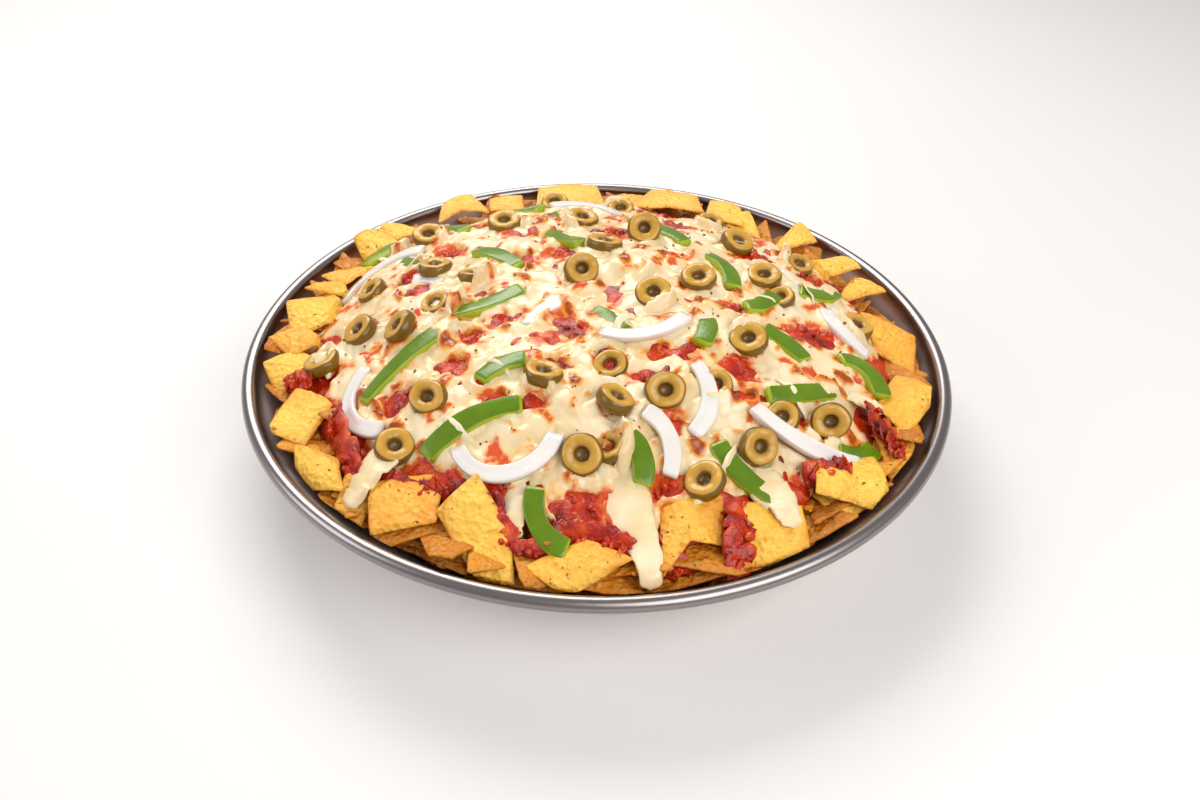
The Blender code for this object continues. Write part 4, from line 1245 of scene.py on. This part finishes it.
# -------------------------------------------------------------- camera and stage
CAMERA_PLACE = (0.0, -0.3758, 0.3053)
CAMERA_TARGET = (0.0013, -0.0413, 0.040)
CAMERA_ROLL = 1.39
CAMERA_LENS = 30.49
FLOOR_GAP = 0.4              # mm between the pan and the floor


def make_camera():
    place = Vector(CAMERA_PLACE)
    ahead = (Vector(CAMERA_TARGET) - place).normalized()
    right = ahead.cross(Vector((0, 0, 1))).normalized()
    up = right.cross(ahead)
    a = math.radians(CAMERA_ROLL)
    side, top = right * math.cos(a) + up * math.sin(a), up * math.cos(a) - right * math.sin(a)
    data = bpy.data.cameras.new("camera")
    data.lens, data.sensor_width = CAMERA_LENS, 36.0
    data.clip_start = 0.01
    camera = bpy.data.objects.new("camera", data)
    camera.matrix_world = Matrix.Translation(place) @ Matrix((side, top, -ahead)).transposed().to_4x4()
    bpy.context.scene.collection.objects.link(camera)
    bpy.context.scene.camera = camera


def make_light(name, place, target, size, watts, colour):
    data = bpy.data.lights.new(name, "AREA")
    data.shape, data.size, data.size_y = "RECTANGLE", size[0], size[1]
    data.energy, data.color = watts, linear(colour)[:3]
    lamp = bpy.data.objects.new(name, data)
    lamp.location = place
    lamp.rotation_euler = (Vector(target) - Vector(place)).to_track_quat("-Z", "Y").to_euler()
    bpy.context.scene.collection.objects.link(lamp)


def make_stage():
    stage = bpy.context.scene.nacho_stage
    half = stage.floor_size / 2
    corners = ((-half, -half), (half, -half), (half, half), (-half, half))
    points = [(x / MM, y / MM, -FLOOR_GAP) for x, y in corners]
    floor = new_piece("floor", points, [(0, 1, 2, 3)], backdrop_material())
    world = bpy.data.worlds.new("studio")
    bpy.context.scene.world = world
    world.use_nodes = True
    world.node_tree.nodes["Background"].inputs["Color"].default_value = linear("#f2f1f4")
    world.node_tree.nodes["Background"].inputs["Strength"].default_value = stage.ambient
    make_light("window", (-0.25, 0.75, 0.85), (0, 0, 0.03), (0.8, 0.6), stage.key_watts, "#fffdf8")
    make_light("front", (0.5, -0.6, 0.7), (0, 0, 0.03), (0.9, 0.6), stage.key_watts * 0.7, "#ffffff")
    make_light("side", (-0.9, -0.2, 0.5), (0, 0, 0.03), (0.5, 0.5), stage.key_watts * 0.25, "#f6f8ff")
    make_camera()
    bpy.context.scene.view_settings.view_transform = "Standard"


# ------------------------------------------------------------------ the add-on
def length(name, description, millimetres):
    return FloatProperty(name=name, description=description, default=millimetres * MM, unit="LENGTH")


def colour(name, description, value):
    return FloatVectorProperty(name=name, description=description, subtype="COLOR", size=4, min=0, max=1,
                               default=linear(value))


class NACHO_PG_colours(bpy.types.PropertyGroup):
    # The first two colours paint light and shade: the wall's pale steel is painted light that brightens its
    # reflections, and the rim's darker steel is painted shade that dulls its reflection.
    steel_wall_painted_light: colour("Pan wall", "Steel of the pan's wall", "#f6f0ee")
    steel_rim_painted_shade: colour("Pan rim", "Steel of the rolled rim", "#948c8a")
    chip_light: colour("Chip, pale", "Palest crust of a chip", "#ffcb4c")
    chip_middle: colour("Chip", "Usual crust of a chip", "#f6a92e")
    chip_deep: colour("Chip, deep", "Deepest crust of a chip", "#d87c12")
    salsa: colour("Salsa", "Tomato in the light", "#cc3806")
    # Salsa, deep is partly the tomato's deep red and partly painted shade for its hollows.
    salsa_deep: colour("Salsa, deep", "Tomato in its hollows", "#6a0a00")
    cheese: colour("Cheese", "Melted cheese", "#f3e1bb")
    cheese_deep: colour("Cheese, deep", "Thicker melted cheese", "#e2c896")
    toasted: colour("Toasted", "Toasted spots on the cheese", "#c65408")
    olive_flesh: colour("Olive flesh", "Cut face of an olive", "#dcac46")
    olive_skin: colour("Olive skin", "Skin of an olive", "#8a660c")
    pepper_skin: colour("Pepper skin", "Skin of the green pepper", "#6f9000")
    pepper_flesh: colour("Pepper flesh", "Cut sides of the green pepper", "#b4bc28")
    onion: colour("Onion", "Baked white onion", "#ece6de")
    floor: colour("Floor", "Paper under the dish", "#dedbd8")


class NACHO_PG_pan(bpy.types.PropertyGroup):
    rim_radius: length("Rim radius", "Middle of the rolled rim", RIM_OUTER - 3.0)
    bead_radius: length("Bead radius", "Half the thickness of the rolled rim", 3.0)
    rim_height: length("Rim height", "Middle of the rolled rim over the table", 40.0)
    base_radius: length("Base radius", "Outer radius of the flat base", 120.0)
    sheet: length("Steel thickness", "Thickness of the steel", 1.0)
    steps: IntProperty(name="Steps round", description="Facets round the pan", default=192, min=24)


class NACHO_PG_heap(bpy.types.PropertyGroup):
    chip_thickness: length("Chip thickness", "Thickness of a chip", 1.8)
    salsa_grid: length("Salsa detail", "Spacing of the salsa's surface points", 1.5)
    cheese_grid: length("Cheese detail", "Spacing of the cheese's surface points", 1.2)


class NACHO_PG_toppings(bpy.types.PropertyGroup):
    olive_radius: length("Olive radius", "Outer radius of an olive slice", 8.0)
    olive_height: length("Olive slice", "Thickness of an olive slice", 5.8)
    pepper_width: length("Pepper width", "Width of a pepper strip", 8.0)
    pepper_thick: length("Pepper thickness", "Thickness of a pepper strip", 5.0)
    onion_width: length("Onion width", "Width of an onion arc", 7.0)
    onion_thick: length("Onion thickness", "Thickness of an onion arc", 3.0)


class NACHO_PG_stage(bpy.types.PropertyGroup):
    floor_size: FloatProperty(name="Floor size", description="Side of the floor", default=4.0, unit="LENGTH")
    key_watts: FloatProperty(name="Window light", description="Power of the main light", default=10.5,
                             unit="POWER")
    ambient: FloatProperty(name="Ambient", description="Strength of the light from all round", default=0.45)


def settle(piece, slot, *nodes):
    """Ties a finished piece to the frame under its body and hides the nodes it stands for; slot, the finish it
    is meant for, is not used.
    """
    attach(piece, "root")
    if nodes:
        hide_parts(*nodes)


def nodes_named(start):
    return sorted(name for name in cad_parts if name.startswith(start))


class NACHO_OT_pan(bpy.types.Operator):
    """Build the round steel pan"""
    bl_idname = "nacho.pan"
    bl_label = "Pan"

    def execute(self, context):
        settle(make_pan(), "pan_steel", "pan")
        return {"FINISHED"}


class NACHO_OT_chips(bpy.types.Operator):
    """Build the tortilla chips and the mound under them"""
    bl_idname = "nacho.chips"
    bl_label = "Tortilla chips"

    def execute(self, context):
        settle(make_core(), "tortilla")
        settle(make_buried_chips(), "tortilla")
        settle(make_chips(), "tortilla", "chip_heap")
        return {"FINISHED"}


class NACHO_OT_layers(bpy.types.Operator):
    """Build the salsa and the melted cheese"""
    bl_idname = "nacho.layers"
    bl_label = "Salsa and cheese"

    def execute(self, context):
        salsa, cheese = make_layers()
        settle(salsa, "salsa", "salsa")
        settle(cheese, "melted_cheese", "cheese")
        settle(make_pulp(), "salsa")
        settle(make_drips(), "melted_cheese")
        settle(make_salsa_runs(), "salsa")
        settle(make_strings(), "melted_cheese")
        return {"FINISHED"}


class NACHO_OT_toppings(bpy.types.Operator):
    """Build the olive rings, pepper strips and onion arcs"""
    bl_idname = "nacho.toppings"
    bl_label = "Olives, pepper and onion"

    def execute(self, context):
        size = context.scene.nacho_toppings
        settle(make_olives(), "green_olive", *nodes_named("olive_"))
        settle(make_strips("pepper_strips", PEPPERS, size.pepper_width / MM, size.pepper_thick / MM,
                           PEPPER_SECTION, pepper_material(), SEED + 200, 2.0),
               "green_pepper", *nodes_named("pepper_"))
        settle(make_strips("onion_arcs", ONIONS, size.onion_width / MM, size.onion_thick / MM, ONION_SECTION,
                           onion_material(), SEED + 300, 0.1), "white_onion", *nodes_named("onion_"))
        return {"FINISHED"}


class NACHO_OT_flecks(bpy.types.Operator):
    """Scatter toasted crumbs and dried herb over the cheese"""
    bl_idname = "nacho.flecks"
    bl_label = "Crumbs and herb"

    def execute(self, context):
        # Toasted crumbs of cheese and chip: dark brown and dry. Oregano: flat, dull dark green flakes.
        crumb = fleck_material("toasted_crumb", linear("#5a2606"), linear("#b4600f"),
                               ((1.5, 3, 0.55), (0.8, 3, 0.55)), 0.2, 0.6)
        herb = fleck_material("dried_oregano", linear("#39420c"), linear("#6a6a18"),
                              ((2, 3, 0.55), (0.7, 2, 0.55)), 0.15, 0.5)
        crumbs = [pulp_lump(f"crumb_{k}", SEED + 80 + k, stretch)
                  for k, stretch in enumerate(((1, 0.8, 0.6), (0.8, 0.7, 0.7)))]
        leaves = [pulp_lump(f"herb_{k}", SEED + 85 + k, stretch)
                  for k, stretch in enumerate(((1.1, 0.6, 0.22), (0.7, 0.6, 0.25)))]
        settle(make_flecks("toasted_crumbs", 2600, 0.05, 0.9, 0.1, crumbs, (0.35, 0.9), crumb, SEED + 81),
               "melted_cheese")
        settle(make_flecks("herb_flecks", 700, 0.12, 0.0, 0.05, leaves, (0.5, 1.1), herb, SEED + 86),
               "green_pepper")
        return {"FINISHED"}


class NACHO_OT_stage(bpy.types.Operator):
    """Set the floor, the lights and the camera"""
    bl_idname = "nacho.stage"
    bl_label = "Stage"

    def execute(self, context):
        make_stage()
        return {"FINISHED"}


OPERATORS = (NACHO_OT_pan, NACHO_OT_chips, NACHO_OT_layers, NACHO_OT_toppings, NACHO_OT_flecks,
             NACHO_OT_stage)
GROUPS = {"nacho_pan": NACHO_PG_pan, "nacho_heap": NACHO_PG_heap, "nacho_toppings": NACHO_PG_toppings,
          "nacho_colours": NACHO_PG_colours, "nacho_stage": NACHO_PG_stage}


class NACHO_PT_panel(bpy.types.Panel):
    """Lists what can be built and its sizes"""
    bl_label = "Nachos"
    bl_space_type = "VIEW_3D"
    bl_region_type = "UI"
    bl_category = "Nachos"

    def draw(self, context):
        for operator in OPERATORS:
            self.layout.operator(operator.bl_idname)
        for name in GROUPS:
            group = getattr(context.scene, name)
            for key in group.bl_rna.properties.keys():
                if key not in ("rna_type", "name"):
                    self.layout.prop(group, key)


def register():
    for name, group in GROUPS.items():
        bpy.utils.register_class(group)
        setattr(bpy.types.Scene, name, PointerProperty(type=group))
    for item in OPERATORS + (NACHO_PT_panel,):
        bpy.utils.register_class(item)


def unregister():
    for item in (NACHO_PT_panel,) + OPERATORS[::-1]:
        bpy.utils.unregister_class(item)
    for name, group in GROUPS.items():
        delattr(bpy.types.Scene, name)
        bpy.utils.unregister_class(group)


def main():
    register()
    for operator in OPERATORS:
        family, action = operator.bl_idname.split(".")
        getattr(getattr(bpy.ops, family), action)()


if __name__ == "__main__":
    main()
